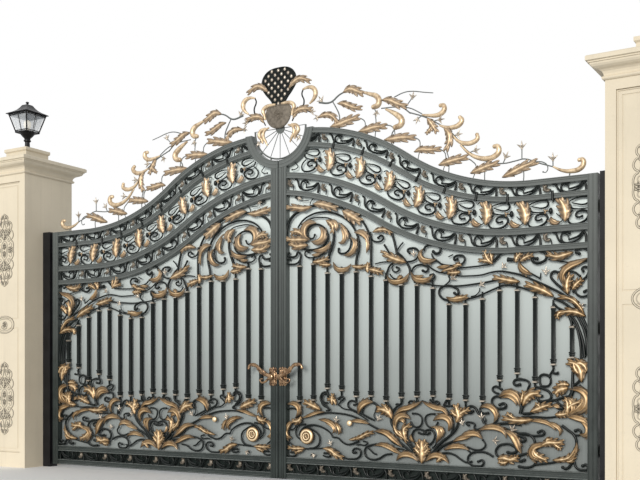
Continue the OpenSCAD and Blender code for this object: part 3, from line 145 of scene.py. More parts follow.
# Feet and heads of the upright bars, from the first one beside the meeting stile.
BAR_PITCH, FIRST_BAR = 140, 203
BAR_ENDS = [
    (700, 1890), (710, 1900), (810, 1815), (795, 1805), (745, 1810), (750, 1765), (710, 1725),
    (740, 1680), (750, 1670), (755, 1640), (735, 1505), (725, 1500), (720, 1535), (880, 1595),
    (935, 1590), (870, 1530), (1000, 1450), (1050, 1300)
]
UPPER_BARS = [
    (24, 22, [(70, 2130), (82, 2220), (112, 2290), (165, 2335), (250, 2368), (340, 2386),
     (430, 2384)]),
    (12, 22, [(430, 2384), (520, 2366), (600, 2352), (665, 2325), (740, 2290), (800, 2245),
     (845, 2190), (882, 2120), (905, 2030), (908, 1940), (903, 1800)]),
    (14, 22, [(190, 2212), (238, 2268), (320, 2310), (420, 2326), (540, 2310), (640, 2266),
     (720, 2200), (765, 2130), (790, 2060), (790, 1980), (770, 1900), (764, 1830)]),
    (12, 10, [(225, 2236), (320, 2278), (440, 2280), (530, 2255), (575, 2215)]),
    (20, 14, [(240, 2026), (300, 2012), (385, 2015), (455, 2042), (490, 2100), (478, 2160),
     (430, 2208), (360, 2226), (300, 2200), (284, 2155), (305, 2116), (345, 2110), (362, 2138)]),
    (20, 26, [(505, 2235), (545, 2165), (550, 2090), (530, 2015), (505, 1955), (484, 1880)]),
    (14, 18, [(620, 2212), (680, 2155), (712, 2090), (716, 2030), (690, 1978), (640, 1958),
     (598, 1974), (600, 2000)]),
    (18, 18, [(205, 1870), (214, 1930), (216, 1980), (190, 1998), (172, 1970), (125, 1962),
     (86, 1978), (98, 2000)]),
    (16, 18, [(214, 1930), (180, 1904), (130, 1898), (82, 1912), (78, 1942), (104, 1944)]),
    (12, 14, [(480, 1992), (420, 1958), (350, 1944), (290, 1950), (262, 1975), (272, 2000),
     (300, 1994)]),
    (16, 20, [(85, 2400), (66, 2450), (74, 2495), (130, 2515), (196, 2508), (218, 2482),
     (196, 2464), (170, 2476)]),
    (9, 7, [(350, 2452), (325, 2430), (312, 2396)]),
    (7, 7, [(225, 2440), (300, 2438)]),
    (12, 18, [(905, 2120), (914, 2060), (960, 2034), (1010, 2042), (1022, 2066), (1000, 2082),
     (976, 2066)]),
    (20, 20, [(1052, 2152), (1092, 2110), (1118, 2040), (1136, 1970), (1150, 1905)]),
    (16, 22, [(1142, 1940), (1190, 1900), (1230, 1850), (1260, 1800), (1268, 1745)]),
    (18, 13, [(1030, 2006), (1060, 1960), (1095, 1915)]),
    (10, 12, [(945, 1852), (1010, 1862), (1085, 1862)]),
    (12, 12, [(1150, 1950), (1175, 1985), (1204, 2012)]),
    (14, 20, [(1240, 1852), (1290, 1856), (1328, 1878), (1342, 1915), (1325, 1946), (1280, 1958),
     (1244, 1944), (1262, 1922)]),
    (18, 14, [(1040, 1730), (1058, 1780), (1085, 1832), (1130, 1852), (1200, 1850)]),
    (10, 16, [(1112, 1836), (1102, 1806), (1118, 1780), (1152, 1778), (1168, 1800), (1144, 1812)]),
    (12, 10, [(1082, 1760), (1112, 1728), (1150, 1716)]),
    (14, 18, [(1280, 1765), (1295, 1800), (1340, 1820), (1395, 1812), (1424, 1785), (1408, 1762),
     (1378, 1772)]),
    (12, 18, [(1300, 1690), (1360, 1680), (1430, 1682), (1475, 1704), (1474, 1736), (1446, 1732)]),
    (18, 22, [(1385, 1930), (1402, 1962), (1450, 1974), (1500, 1964), (1532, 1938), (1520, 1906),
     (1490, 1902), (1470, 1918)]),
    (14, 12, [(1455, 1905), (1468, 1872), (1502, 1846)]),
    (14, 14, [(1390, 1860), (1430, 1832), (1500, 1842), (1540, 1815), (1640, 1795)]),
    (16, 18, [(1640, 1795), (1700, 1800), (1735, 1826), (1732, 1860), (1695, 1873), (1652, 1862),
     (1650, 1842), (1676, 1844)]),
    (9, 9, [(1600, 1868), (1640, 1884)]),
    (12, 12, [(1420, 1812), (1480, 1770), (1545, 1745), (1625, 1745), (1690, 1772), (1760, 1776),
     (1880, 1782), (1960, 1796), (2000, 1838), (2060, 1866), (2130, 1866), (2175, 1845)]),
    (22, 20, [(1975, 1806), (2000, 1832), (2024, 1850)]),
    (10, 20, [(1640, 1728), (1700, 1712), (1780, 1708), (1880, 1710), (1960, 1726), (2030, 1730),
     (2100, 1718), (2200, 1690), (2300, 1645), (2440, 1575), (2520, 1528), (2600, 1455),
     (2660, 1360), (2700, 1260), (2716, 1180)]),
    (12, 12, [(1640, 1735), (1604, 1722), (1612, 1688), (1592, 1660), (1570, 1646)]),
    (10, 16, [(1300, 1682), (1400, 1664), (1500, 1646), (1600, 1638), (1700, 1634), (1800, 1640),
     (1950, 1656), (2030, 1672)]),
    (18, 20, [(1600, 1522), (1545, 1546), (1520, 1590), (1540, 1628), (1590, 1640), (1650, 1626),
     (1684, 1596), (1676, 1566), (1652, 1580)]),
    (14, 14, [(1690, 1530), (1760, 1530), (1850, 1547), (1900, 1565), (1980, 1595), (2060, 1620),
     (2140, 1612), (2230, 1585), (2320, 1548)]),
    (9, 9, [(1790, 1546), (1836, 1558), (1860, 1586), (1864, 1610)]),
    (34, 22, [(2088, 1816), (2120, 1812), (2160, 1808)]),
    (20, 20, [(2340, 1864), (2384, 1842), (2390, 1804), (2352, 1778), (2300, 1780), (2284, 1806),
     (2322, 1808)]),
    (12, 12, [(2178, 1800), (2195, 1760), (2240, 1720), (2290, 1690), (2350, 1655)]),
    (10, 9, [(2345, 1660), (2350, 1700)]),
    (18, 20, [(2560, 1528), (2505, 1580), (2450, 1632), (2426, 1672), (2446, 1702), (2486, 1694)]),
    (12, 10, [(2408, 1796), (2460, 1786), (2540, 1768), (2640, 1752)]),
    (12, 18, [(2640, 1755), (2700, 1775), (2714, 1815), (2690, 1852), (2640, 1860), (2612, 1840),
     (2640, 1824)]),
    (14, 14, [(2530, 1598), (2518, 1656), (2548, 1692), (2600, 1692), (2644, 1660)]),
    (16, 18, [(2592, 1540), (2612, 1590), (2660, 1626), (2704, 1676), (2700, 1720), (2660, 1714),
     (2668, 1694)]),
    (14, 18, [(2616, 1600), (2608, 1556), (2632, 1518), (2676, 1508), (2708, 1528), (2698, 1552),
     (2676, 1544)]),
    (9, 8, [(2640, 1448), (2690, 1446)]),
    (18, 22, [(2450, 1505), (2520, 1470), (2600, 1400), (2656, 1310), (2690, 1200), (2700, 1080)]),
    (14, 22, [(2440, 1475), (2482, 1432), (2545, 1400), (2604, 1340), (2640, 1260), (2668, 1160),
     (2678, 1060)]),
    (14, 20, [(2560, 1372), (2606, 1312), (2634, 1230), (2650, 1130), (2652, 1050)]),
    (18, 18, [(2560, 1375), (2578, 1330), (2584, 1290)]),
]
UPPER_LEAVES = [
    (56, [(340, 2380), (250, 2372), (160, 2388), (72, 2398)]),
    (64, [(350, 2402), (430, 2392), (510, 2368), (580, 2344)]),
    (84, [(640, 2318), (700, 2282), (755, 2248), (812, 2212)]),
    (64, [(300, 2095), (220, 2105), (150, 2108), (68, 2124)]),
    (62, [(300, 2052), (240, 2052), (180, 2050), (118, 2082)]),
    (54, [(250, 2140), (210, 2170), (170, 2180), (128, 2168)]),
    (52, [(478, 2250), (522, 2226), (548, 2190), (540, 2142)]),
    (50, [(345, 1904), (420, 1906), (500, 1926)]),
    (44, [(530, 1870), (480, 1872), (420, 1880)]),
    (38, [(720, 1850), (780, 1836), (830, 1834), (880, 1846)]),
    (46, [(884, 1780), (880, 1820), (890, 1864)]),
    (54, [(890, 1812), (950, 1798), (1020, 1776)]),
    (44, [(925, 2115), (1000, 2130), (1060, 2120), (1095, 2092)]),
    (66, [(1235, 1846), (1170, 1868), (1105, 1892), (1040, 1926)]),
    (28, [(1080, 1920), (1040, 1938), (1006, 1950)]),
    (34, [(1540, 1752), (1600, 1768), (1650, 1776), (1694, 1806)]),
    (44, [(1710, 1742), (1660, 1738), (1600, 1742)]),
    (36, [(1720, 1790), (1690, 1800), (1650, 1790)]),
    (50, [(1975, 1788), (1935, 1826), (1906, 1894)]),
    (38, [(1965, 1798), (1912, 1818), (1862, 1822)]),
    (34, [(1968, 1802), (1962, 1850), (1950, 1888)]),
    (52, [(2160, 1786), (2166, 1822), (2200, 1856)]),
    (44, [(2190, 1792), (2236, 1822), (2290, 1836)]),
    (56, [(2600, 1838), (2540, 1822), (2470, 1812), (2404, 1836)]),
    (66, [(2558, 1530), (2550, 1580), (2556, 1630), (2580, 1674)]),
    (56, [(2590, 1560), (2620, 1600), (2664, 1634)]),
    (56, [(2190, 1640), (2120, 1652), (2050, 1668), (1985, 1684)]),
    (66, [(2450, 1516), (2390, 1556), (2320, 1588), (2240, 1618)]),
    (42, [(2680, 1380), (2640, 1440), (2580, 1492), (2500, 1512)]),
    (54, [(2690, 1362), (2620, 1394), (2560, 1402), (2500, 1392)]),
    (46, [(2520, 1400), (2490, 1390), (2478, 1352)]),
    (40, [(1650, 1546), (1700, 1540), (1760, 1548)]),
]
UPPER_HORNS = [
    (58, [(380, 2238), (310, 2244), (264, 2216), (250, 2170), (268, 2122), (316, 2102)]),
    (58, [(330, 2080), (390, 2072), (436, 2090), (452, 2130), (440, 2176), (408, 2200)]),
    (42, [(598, 2052), (636, 2052), (660, 2088), (650, 2140), (616, 2186)]),
    (24, [(600, 2224), (650, 2176), (688, 2112), (694, 2070)]),
    (30, [(846, 2088), (872, 2052), (880, 2000), (868, 1944)]),
    (34, [(520, 2250), (552, 2238), (580, 2204), (578, 2150)]),
    (44, [(650, 1940), (712, 1950), (750, 1990), (758, 2046), (716, 2092)]),
    (50, [(752, 2126), (816, 2122), (862, 2086), (888, 2030)]),
    (42, [(346, 2002), (430, 1998), (496, 2026), (528, 2072)]),
    (26, [(330, 1966), (380, 1964), (430, 1976)]),
    (42, [(548, 1892), (576, 1838), (632, 1818), (690, 1832), (724, 1866)]),
    (44, [(1058, 1750), (1088, 1706), (1150, 1690), (1220, 1708), (1264, 1762)]),
    (44, [(1274, 1768), (1308, 1712), (1370, 1692), (1430, 1700), (1470, 1736)]),
    (28, [(1150, 1704), (1172, 1728), (1206, 1734)]),
    (30, [(1300, 1740), (1340, 1722), (1388, 1734)]),
    (46, [(1384, 1948), (1358, 1910), (1368, 1870), (1420, 1846), (1500, 1854)]),
    (38, [(1580, 1552), (1630, 1530), (1690, 1526), (1760, 1530)]),
    (44, [(2180, 1796), (2196, 1748), (2236, 1712), (2284, 1690)]),
    (50, [(2705, 1788), (2640, 1762), (2570, 1738), (2520, 1694), (2512, 1640), (2540, 1590)]),
    (30, [(1500, 1790), (1560, 1790), (1620, 1800)]),
]
LOWER_BARS = [
    (20, 14, [(1345, 235), (1300, 290), (1220, 352), (1130, 412), (1040, 462), (950, 500),
     (850, 545), (760, 582), (680, 602), (590, 612), (480, 614), (400, 600)]),
    (12, 9, [(400, 600), (330, 590), (240, 570), (170, 545), (110, 500), (76, 450)]),
    (16, 12, [(1220, 352), (1120, 380), (1040, 440), (960, 462)]),
    (14, 10, [(1290, 300), (1200, 330), (1130, 340), (1060, 352)]),
    (18, 14, [(790, 384), (740, 362), (690, 352), (640, 368), (590, 404), (540, 408)]),
    (12, 22, [(540, 408), (520, 440), (470, 474), (400, 500), (330, 506), (265, 488), (222, 450),
     (208, 412)]),
    (16, 12, [(268, 512), (200, 500), (172, 460), (176, 410), (220, 376)]),
    (12, 18, [(265, 488), (300, 482), (362, 454), (402, 420), (412, 380), (400, 340), (360, 312),
     (310, 304)]),
    (12, 14, [(450, 312), (350, 304), (262, 300), (180, 296)]),
    (14, 12, [(510, 312), (570, 302), (620, 262), (660, 238), (720, 232), (770, 240), (808, 262),
     (815, 300)]),
    (14, 18, [(715, 232), (770, 238), (806, 268), (808, 304), (770, 322), (738, 306), (738, 286),
     (760, 288)]),
    (16, 16, [(1100, 290), (1040, 280), (980, 246), (920, 236), (870, 252), (848, 290), (858, 330),
     (900, 352), (960, 366)]),
    (12, 12, [(770, 350), (800, 356), (850, 352), (872, 372), (840, 384)]),
    (14, 14, [(860, 340), (900, 316), (930, 290), (960, 280)]),
    (10, 12, [(880, 560), (800, 604), (720, 640), (640, 654), (590, 690)]),
    (16, 16, [(940, 560), (870, 590), (800, 622), (720, 650), (690, 676), (700, 710), (750, 716),
     (772, 694), (748, 686)]),
    (12, 20, [(600, 690), (620, 712), (648, 742), (625, 752), (600, 736)]),
    (16, 20, [(500, 640), (470, 680), (424, 716), (424, 760), (450, 786), (490, 780), (496, 756)]),
    (12, 10, [(490, 700), (450, 708), (436, 738), (450, 766), (478, 772)]),
    (16, 10, [(430, 700), (450, 674), (500, 656), (512, 640), (480, 632)]),
    (14, 14, [(74, 640), (130, 648), (170, 640)]),
    (14, 14, [(160, 560), (200, 580), (218, 620), (214, 660), (200, 700)]),
    (14, 10, [(90, 500), (130, 520), (168, 506), (150, 470), (110, 460)]),
    (16, 12, [(74, 380), (100, 350), (130, 330)]),
    (12, 16, [(75, 240), (140, 232), (170, 250), (120, 264)]),
    (14, 18, [(445, 250), (480, 240), (515, 250), (500, 268), (460, 270)]),
    (10, 10, [(320, 246), (350, 264)]),
    (18, 14, [(930, 705), (980, 676), (1010, 640)]),
    (20, 18, [(820, 620), (830, 660), (880, 700), (940, 704), (962, 680), (955, 640)]),
    (10, 8, [(955, 640), (935, 600), (960, 560)]),
    (22, 16, [(1340, 290), (1250, 372), (1180, 440), (1120, 500), (1092, 560), (1100, 620),
     (1140, 672), (1185, 705), (1195, 750)]),
    (14, 14, [(1092, 600), (1096, 650), (1066, 700), (1044, 730)]),
    (12, 14, [(1180, 690), (1150, 700), (1135, 692)]),
    (22, 18, [(1440, 270), (1470, 320), (1540, 400), (1620, 462), (1670, 520), (1690, 590),
     (1700, 620)]),
    (16, 16, [(1620, 462), (1640, 520), (1630, 590), (1590, 650), (1560, 690), (1590, 730)]),
    (12, 14, [(1560, 640), (1520, 680), (1480, 716), (1440, 740)]),
    (14, 16, [(1330, 742), (1330, 715), (1290, 700), (1255, 700), (1262, 722), (1300, 722)]),
    (14, 16, [(1438, 736), (1470, 720), (1505, 724), (1520, 706), (1490, 694)]),
    (16, 14, [(1590, 745), (1572, 700), (1610, 690), (1640, 692)]),
    (14, 14, [(1268, 560), (1300, 520), (1350, 522), (1372, 560), (1365, 600), (1330, 622),
     (1290, 624)]),
    (14, 14, [(1512, 560), (1480, 520), (1430, 522), (1402, 560), (1404, 600), (1440, 622),
     (1480, 624)]),
    (16, 16, [(1330, 376), (1290, 410), (1286, 460), (1310, 492), (1370, 494), (1400, 470),
     (1370, 462), (1344, 470)]),
    (16, 16, [(1438, 376), (1470, 410), (1482, 460), (1460, 492), (1410, 492), (1392, 470),
     (1424, 462), (1436, 474)]),
    (12, 12, [(1300, 350), (1270, 380), (1262, 430)]),
    (12, 12, [(1460, 350), (1490, 380), (1500, 430)]),
    (14, 12, [(1160, 640), (1230, 668), (1300, 690), (1376, 728)]),
    (14, 12, [(1600, 600), (1540, 660), (1470, 690), (1376, 728)]),
    (18, 14, [(1440, 262), (1560, 316), (1650, 306), (1700, 276), (1760, 250), (1800, 262)]),
    (20, 18, [(1450, 290), (1560, 376), (1660, 420), (1770, 480), (1880, 520), (1990, 556),
     (2100, 565)]),
    (14, 12, [(1760, 350), (1790, 330), (1850, 336), (1920, 330), (1970, 305)]),
    (18, 16, [(1975, 305), (1920, 332), (1850, 338), (1790, 320), (1764, 276), (1784, 240),
     (1840, 226), (1890, 240), (1888, 272), (1850, 262)]),
    (14, 14, [(1760, 372), (1830, 352), (1890, 364), (1910, 394), (1890, 430)]),
    (14, 16, [(1890, 520), (1820, 520), (1822, 550), (1790, 564), (1752, 556), (1770, 542)]),
    (20, 18, [(1900, 560), (1880, 600), (1850, 640), (1820, 682), (1780, 690), (1752, 660),
     (1784, 636), (1806, 654)]),
    (18, 14, [(1930, 540), (1990, 570), (2010, 620), (1995, 670)]),
    (14, 18, [(1880, 700), (1866, 660), (1890, 638), (1930, 640)]),
    (12, 9, [(1910, 545), (1912, 600)]),
    (26, 18, [(2190, 640), (2196, 690), (2170, 740), (2130, 772)]),
    (18, 20, [(2040, 762), (1990, 768), (1962, 730), (1985, 690), (2040, 676), (2076, 696),
     (2060, 716), (2026, 706)]),
    (16, 18, [(2020, 790), (1988, 800), (1968, 824), (1990, 846), (2020, 836), (2040, 824)]),
    (18, 16, [(2196, 650), (2220, 720), (2240, 780), (2250, 830), (2262, 870), (2230, 896),
     (2180, 900)]),
    (18, 20, [(2230, 896), (2170, 902), (2138, 880), (2150, 858), (2186, 862)]),
    (18, 20, [(2300, 846), (2370, 830), (2420, 800), (2426, 760), (2386, 740), (2336, 742),
     (2326, 770), (2356, 776)]),
    (18, 16, [(2400, 742), (2460, 748), (2530, 770), (2580, 780)]),
    (16, 16, [(2350, 850), (2410, 856), (2426, 890), (2420, 930), (2440, 966), (2450, 990)]),
    (16, 20, [(2350, 850), (2340, 900), (2350, 930), (2400, 932), (2418, 920)]),
    (14, 22, [(2430, 960), (2460, 944), (2486, 950)]),
    (16, 18, [(2460, 748), (2500, 712), (2520, 700), (2500, 680), (2470, 694)]),
    (30, 18, [(2570, 770), (2590, 820), (2590, 880), (2590, 960)]),
    (20, 18, [(2585, 850), (2630, 880), (2660, 930), (2676, 960)]),
    (20, 16, [(2210, 640), (2290, 650), (2360, 680), (2420, 710), (2470, 700)]),
    (14, 12, [(2200, 616), (2300, 620), (2400, 616), (2500, 630), (2600, 650), (2680, 700),
     (2706, 750), (2690, 800), (2640, 820), (2580, 814)]),
    (14, 12, [(2050, 566), (2150, 560), (2250, 590), (2350, 590), (2430, 566), (2480, 530)]),
    (10, 9, [(2100, 560), (2200, 550)]),
    (14, 20, [(2060, 530), (2150, 500), (2250, 480), (2330, 478), (2376, 496), (2360, 516),
     (2330, 504)]),
    (20, 18, [(2180, 490), (2250, 486), (2296, 450), (2300, 400), (2270, 350)]),
    (18, 20, [(2160, 480), (2200, 466), (2230, 446), (2206, 430), (2180, 440)]),
    (18, 20, [(2030, 300), (1996, 330), (2010, 380), (2060, 404), (2130, 396), (2160, 360),
     (2130, 340), (2090, 344)]),
    (18, 22, [(2280, 350), (2220, 334), (2170, 306), (2186, 280), (2220, 290)]),
    (18, 18, [(2270, 350), (2312, 310), (2300, 260), (2250, 236), (2180, 240)]),
    (16, 20, [(2300, 258), (2380, 270), (2460, 286), (2540, 310), (2590, 360), (2618, 430),
     (2600, 490), (2550, 530), (2510, 560)]),
    (20, 20, [(2608, 400), (2600, 340), (2580, 280), (2540, 240), (2516, 250)]),
    (18, 20, [(2600, 300), (2620, 250), (2670, 236), (2704, 250), (2690, 276), (2664, 268)]),
    (14, 20, [(2600, 490), (2650, 500), (2640, 530), (2610, 524)]),
    (14, 12, [(2640, 860), (2690, 820)]),
    (16, 12, [(2640, 980), (2700, 960)]),
]
LOWER_LEAVES = [
    (70, [(425, 640), (380, 660), (330, 680), (262, 704)]),
    (60, [(230, 580), (214, 548), (180, 534), (140, 538)]),
    (48, [(270, 302), (210, 302), (150, 300), (100, 306)]),
    (38, [(250, 286), (206, 278), (170, 262)]),
    (60, [(450, 312), (520, 300), (570, 268), (640, 240)]),
    (36, [(540, 290), (560, 262), (590, 250)]),
    (50, [(540, 680), (540, 720), (546, 776)]),
    (44, [(580, 680), (560, 720), (530, 732), (496, 728)]),
    (30, [(700, 392), (760, 404), (800, 426)]),
    (46, [(760, 396), (820, 420), (870, 446), (930, 462)]),
    (84, [(1110, 580), (1072, 630), (1030, 650), (972, 654)]),
    (44, [(1080, 640), (1056, 664), (1042, 690)]),
    (96, [(1374, 226), (1374, 290), (1374, 350), (1374, 410)]),
    (52, [(1360, 300), (1330, 330), (1312, 352)]),
    (52, [(1388, 300), (1420, 330), (1436, 352)]),
    (44, [(1368, 340), (1340, 370), (1330, 396)]),
    (44, [(1380, 340), (1408, 370), (1420, 396)]),
    (46, [(1120, 540), (1150, 470), (1210, 430), (1240, 400)]),
    (60, [(1240, 400), (1220, 450), (1220, 500), (1270, 530)]),
    (46, [(1160, 480), (1180, 470), (1200, 440)]),
    (80, [(1670, 560), (1690, 610), (1680, 650), (1668, 700)]),
    (54, [(1680, 600), (1720, 640), (1780, 668)]),
    (44, [(1690, 610), (1650, 630), (1630, 660)]),
    (60, [(2300, 600), (2220, 590), (2150, 590), (2060, 604)]),
    (40, [(2150, 600), (2120, 622), (2086, 640)]),
    (62, [(2270, 656), (2330, 680), (2380, 700), (2430, 712)]),
    (36, [(2350, 690), (2330, 712), (2310, 716)]),
    (84, [(2215, 700), (2240, 760), (2280, 790), (2340, 796)]),
    (50, [(2200, 720), (2210, 770), (2220, 812)]),
    (86, [(2560, 840), (2520, 830), (2490, 820), (2462, 790)]),
    (56, [(2570, 860), (2520, 866), (2476, 856)]),
    (78, [(2660, 880), (2650, 960), (2620, 1010), (2560, 1030)]),
    (70, [(2600, 1000), (2640, 1020), (2680, 1000), (2700, 960)]),
    (60, [(2640, 940), (2610, 980), (2600, 1030)]),
    (60, [(2540, 640), (2560, 690), (2600, 720), (2660, 740)]),
    (60, [(2560, 640), (2556, 700), (2550, 740), (2530, 756)]),
    (66, [(2350, 400), (2410, 430), (2460, 430), (2520, 436)]),
    (46, [(2450, 426), (2480, 404), (2510, 388)]),
    (38, [(2420, 424), (2400, 446), (2440, 456)]),
    (64, [(2290, 390), (2310, 340), (2350, 316), (2400, 300)]),
    (66, [(2010, 290), (2060, 300), (2110, 290), (2170, 296)]),
    (46, [(2100, 276), (2060, 262), (2020, 270)]),
    (46, [(2100, 290), (2140, 300), (2180, 316)]),
    (48, [(2440, 300), (2500, 306), (2560, 322), (2610, 372)]),
    (36, [(2540, 296), (2580, 300), (2610, 330)]),
    (44, [(1500, 240), (1540, 276), (1580, 290)]),
    (56, [(2460, 640), (2500, 640), (2560, 650)]),
]
LOWER_HORNS = [
    (52, [(84, 684), (150, 688), (196, 660), (204, 616), (172, 572)]),
    (44, [(150, 540), (104, 508), (80, 456), (92, 420)]),
    (46, [(76, 480), (70, 440), (84, 404), (130, 390)]),
    (32, [(230, 562), (310, 588), (400, 616), (470, 622)]),
    (40, [(400, 556), (480, 548), (540, 520), (574, 480), (580, 440)]),
    (34, [(470, 530), (540, 505), (560, 470), (540, 440)]),
    (34, [(560, 540), (600, 500), (612, 460), (596, 430)]),
    (36, [(700, 545), (760, 552), (830, 548), (900, 530)]),
    (60, [(790, 610), (808, 668), (860, 708), (930, 712)]),
    (52, [(940, 470), (990, 474), (1050, 462), (1120, 412), (1200, 350)]),
    (46, [(940, 352), (1000, 364), (1070, 350), (1140, 316), (1200, 292)]),
    (52, [(1144, 236), (1176, 276), (1230, 294), (1290, 282), (1346, 240)]),
    (52, [(1606, 236), (1576, 272), (1522, 296), (1462, 290), (1400, 240)]),
    (44, [(1120, 600), (1180, 650), (1260, 672), (1340, 706), (1374, 724)]),
    (44, [(1610, 600), (1560, 660), (1490, 676), (1410, 706), (1376, 724)]),
    (56, [(1140, 490), (1134, 550), (1170, 600), (1230, 604), (1270, 580)]),
    (34, [(1170, 560), (1200, 570), (1220, 540)]),
    (56, [(1600, 490), (1620, 550), (1580, 600), (1510, 596), (1470, 570)]),
    (34, [(1450, 520), (1500, 514), (1522, 470), (1510, 420), (1500, 396)]),
    (34, [(1480, 524), (1550, 500), (1540, 450), (1524, 420)]),
    (28, [(1310, 392), (1280, 420), (1276, 460)]),
    (44, [(1560, 340), (1620, 366), (1680, 376), (1740, 366), (1780, 346)]),
    (40, [(1640, 412), (1700, 436), (1750, 446), (1800, 456)]),
    (52, [(1700, 452), (1770, 476), (1840, 476), (1890, 440)]),
    (50, [(1866, 684), (1920, 696), (1976, 672), (2000, 616), (1980, 570)]),
    (50, [(1856, 506), (1930, 530), (2010, 528), (2070, 490), (2080, 450)]),
    (62, [(2060, 510), (2110, 490), (2156, 440), (2180, 380), (2200, 340)]),
    (56, [(2020, 766), (2080, 800), (2140, 790), (2180, 740), (2190, 690)]),
    (40, [(2040, 760), (2100, 772), (2150, 740), (2166, 700)]),
    (36, [(2250, 590), (2340, 590), (2420, 566), (2470, 520)]),
    (34, [(2390, 580), (2460, 560), (2500, 520), (2492, 480)]),
    (60, [(2560, 830), (2640, 826), (2696, 780), (2700, 720), (2660, 670), (2600, 650)]),
    (44, [(2570, 640), (2640, 690), (2670, 740), (2650, 790)]),
    (44, [(2530, 640), (2590, 660), (2590, 720), (2560, 760), (2530, 740)]),
    (50, [(2540, 630), (2620, 620), (2690, 590), (2712, 560)]),
    (50, [(2640, 600), (2680, 580), (2706, 540), (2690, 496), (2640, 500)]),
    (52, [(2430, 412), (2350, 410), (2290, 380), (2282, 330), (2340, 300), (2390, 296)]),
    (40, [(2500, 300), (2580, 330), (2620, 400), (2620, 440)]),
    (36, [(2440, 712), (2480, 700), (2500, 690)]),
]
FRIEZE_BARS = [
    (14, 13, [(78, 86), (98, 80), (114, 52), (128, 26), (152, 8)]),
    (8, 8, [(72, -4), (68, 24), (56, 42), (34, 38)]),
    (12, 14, [(312, 76), (290, 40), (250, 14), (205, 4), (162, 10), (144, 34), (145, 60),
     (162, 80), (188, 83), (205, 72)]),
    (9, 8, [(152, 74), (182, 66), (198, 50), (202, 30)]),
    (10, 16, [(198, 26), (236, 34), (272, 46), (306, 74)]),
    (14, 17, [(308, 80), (324, 60), (329, 34), (330, -4)]),
]
FRIEZE_HORNS = [
    (34, [(66, 42), (38, 36), (20, 58), (38, 80)]),
]
BAND_BARS = [
    (7, 14, [(167, 168), (217, 186), (277, 196), (317, 190), (331, 168)]),
    (14, 7, [(331, 168), (315, 146), (277, 138), (235, 146), (197, 156)]),
    (12, 7, [(181, 146), (193, 120), (229, 110), (287, 108), (333, 112)]),
    (9, 16, [(203, 104), (173, 72), (163, 38), (181, 8), (221, 0), (269, 8), (307, 30),
     (325, 60)]),
    (16, 12, [(325, 60), (309, 86), (269, 94), (233, 82), (225, 60), (245, 48), (273, 54)]),
    (8, 7, [(43, 176), (63, 196), (85, 190), (89, 166)]),
    (6, 8, [(71, 90), (99, 66), (121, 42), (99, 22), (59, 16)]),
]
BAND_LEAVES = [
    (75, [(143, 22), (145, 90), (127, 150), (99, 196)]),
]
BAND_HORNS = [
    (36, [(101, 28), (69, 20), (37, 40), (29, 68)]),
]
CREST_BARS = [
    (14, 8, [(400, 3268), (500, 3250), (540, 3262), (580, 3290), (620, 3310), (700, 3322),
     (780, 3308), (850, 3278)]),
    (10, 8, [(590, 3020), (602, 3120), (562, 3210), (530, 3262)]),
    (9, 9, [(940, 3232), (1030, 3185), (1120, 3150), (1200, 3105), (1265, 3052)]),
    (9, 8, [(1250, 3062), (1400, 3000), (1500, 2940), (1600, 2870), (1690, 2770),
     (1750, 2695), (1810, 2650), (1920, 2585), (2050, 2555), (2150, 2563), (2220, 2570),
     (2320, 2530), (2450, 2482)]),
    (8, 6, [(1120, 3205), (1200, 3228), (1260, 3230), (1400, 3200), (1465, 3186)]),
    (8, 7, [(1000, 3130), (1130, 3122), (1250, 3098), (1340, 3050), (1410, 3000)]),
    (9, 8, [(1170, 2955), (1112, 2930), (1092, 2870), (1100, 2800)]),
    (7, 7, [(940, 3096), (950, 3040), (940, 2880)]),
    (7, 7, [(1580, 2715), (1600, 2640), (1600, 2520)]),
    (7, 7, [(1930, 2582), (1905, 2520), (1900, 2430)]),
    (7, 7, [(2210, 2508), (2215, 2450), (2210, 2385)]),
    (8, 8, [(2570, 2440), (2560, 2385)]),
    (8, 6, [(770, 3088), (840, 3050), (850, 3010), (830, 2930)]),
    (8, 6, [(1020, 2990), (1100, 2965), (1125, 2900), (1100, 2800)]),
    (8, 6, [(1285, 2858), (1345, 2820), (1350, 2775), (1330, 2660)]),
    (8, 6, [(1505, 2735), (1560, 2705), (1575, 2660), (1550, 2545)]),
    (8, 6, [(1742, 2640), (1800, 2600), (1830, 2560), (1800, 2455)]),
    (8, 5, [(2290, 2540), (2370, 2525), (2400, 2490), (2385, 2450), (2365, 2455)]),
    (7, 7, [(400, 3262), (430, 3282)]), (7, 7, [(400, 3152), (372, 3126)]),
    (7, 7, [(1215, 3100), (1290, 3186)]), (7, 7, [(930, 3150), (955, 3096)]),
    (7, 7, [(1370, 3022), (1322, 2990)]), (7, 7, [(1470, 2960), (1540, 2968)]),
    (7, 7, [(1650, 2822), (1690, 2826)]), (7, 7, [(1780, 2672), (1838, 2692)]),
    (7, 7, [(2050, 2556), (2078, 2610)]), (7, 7, [(2440, 2486), (2440, 2556)]),
    (7, 7, [(2200, 2570), (2200, 2670)]),
]
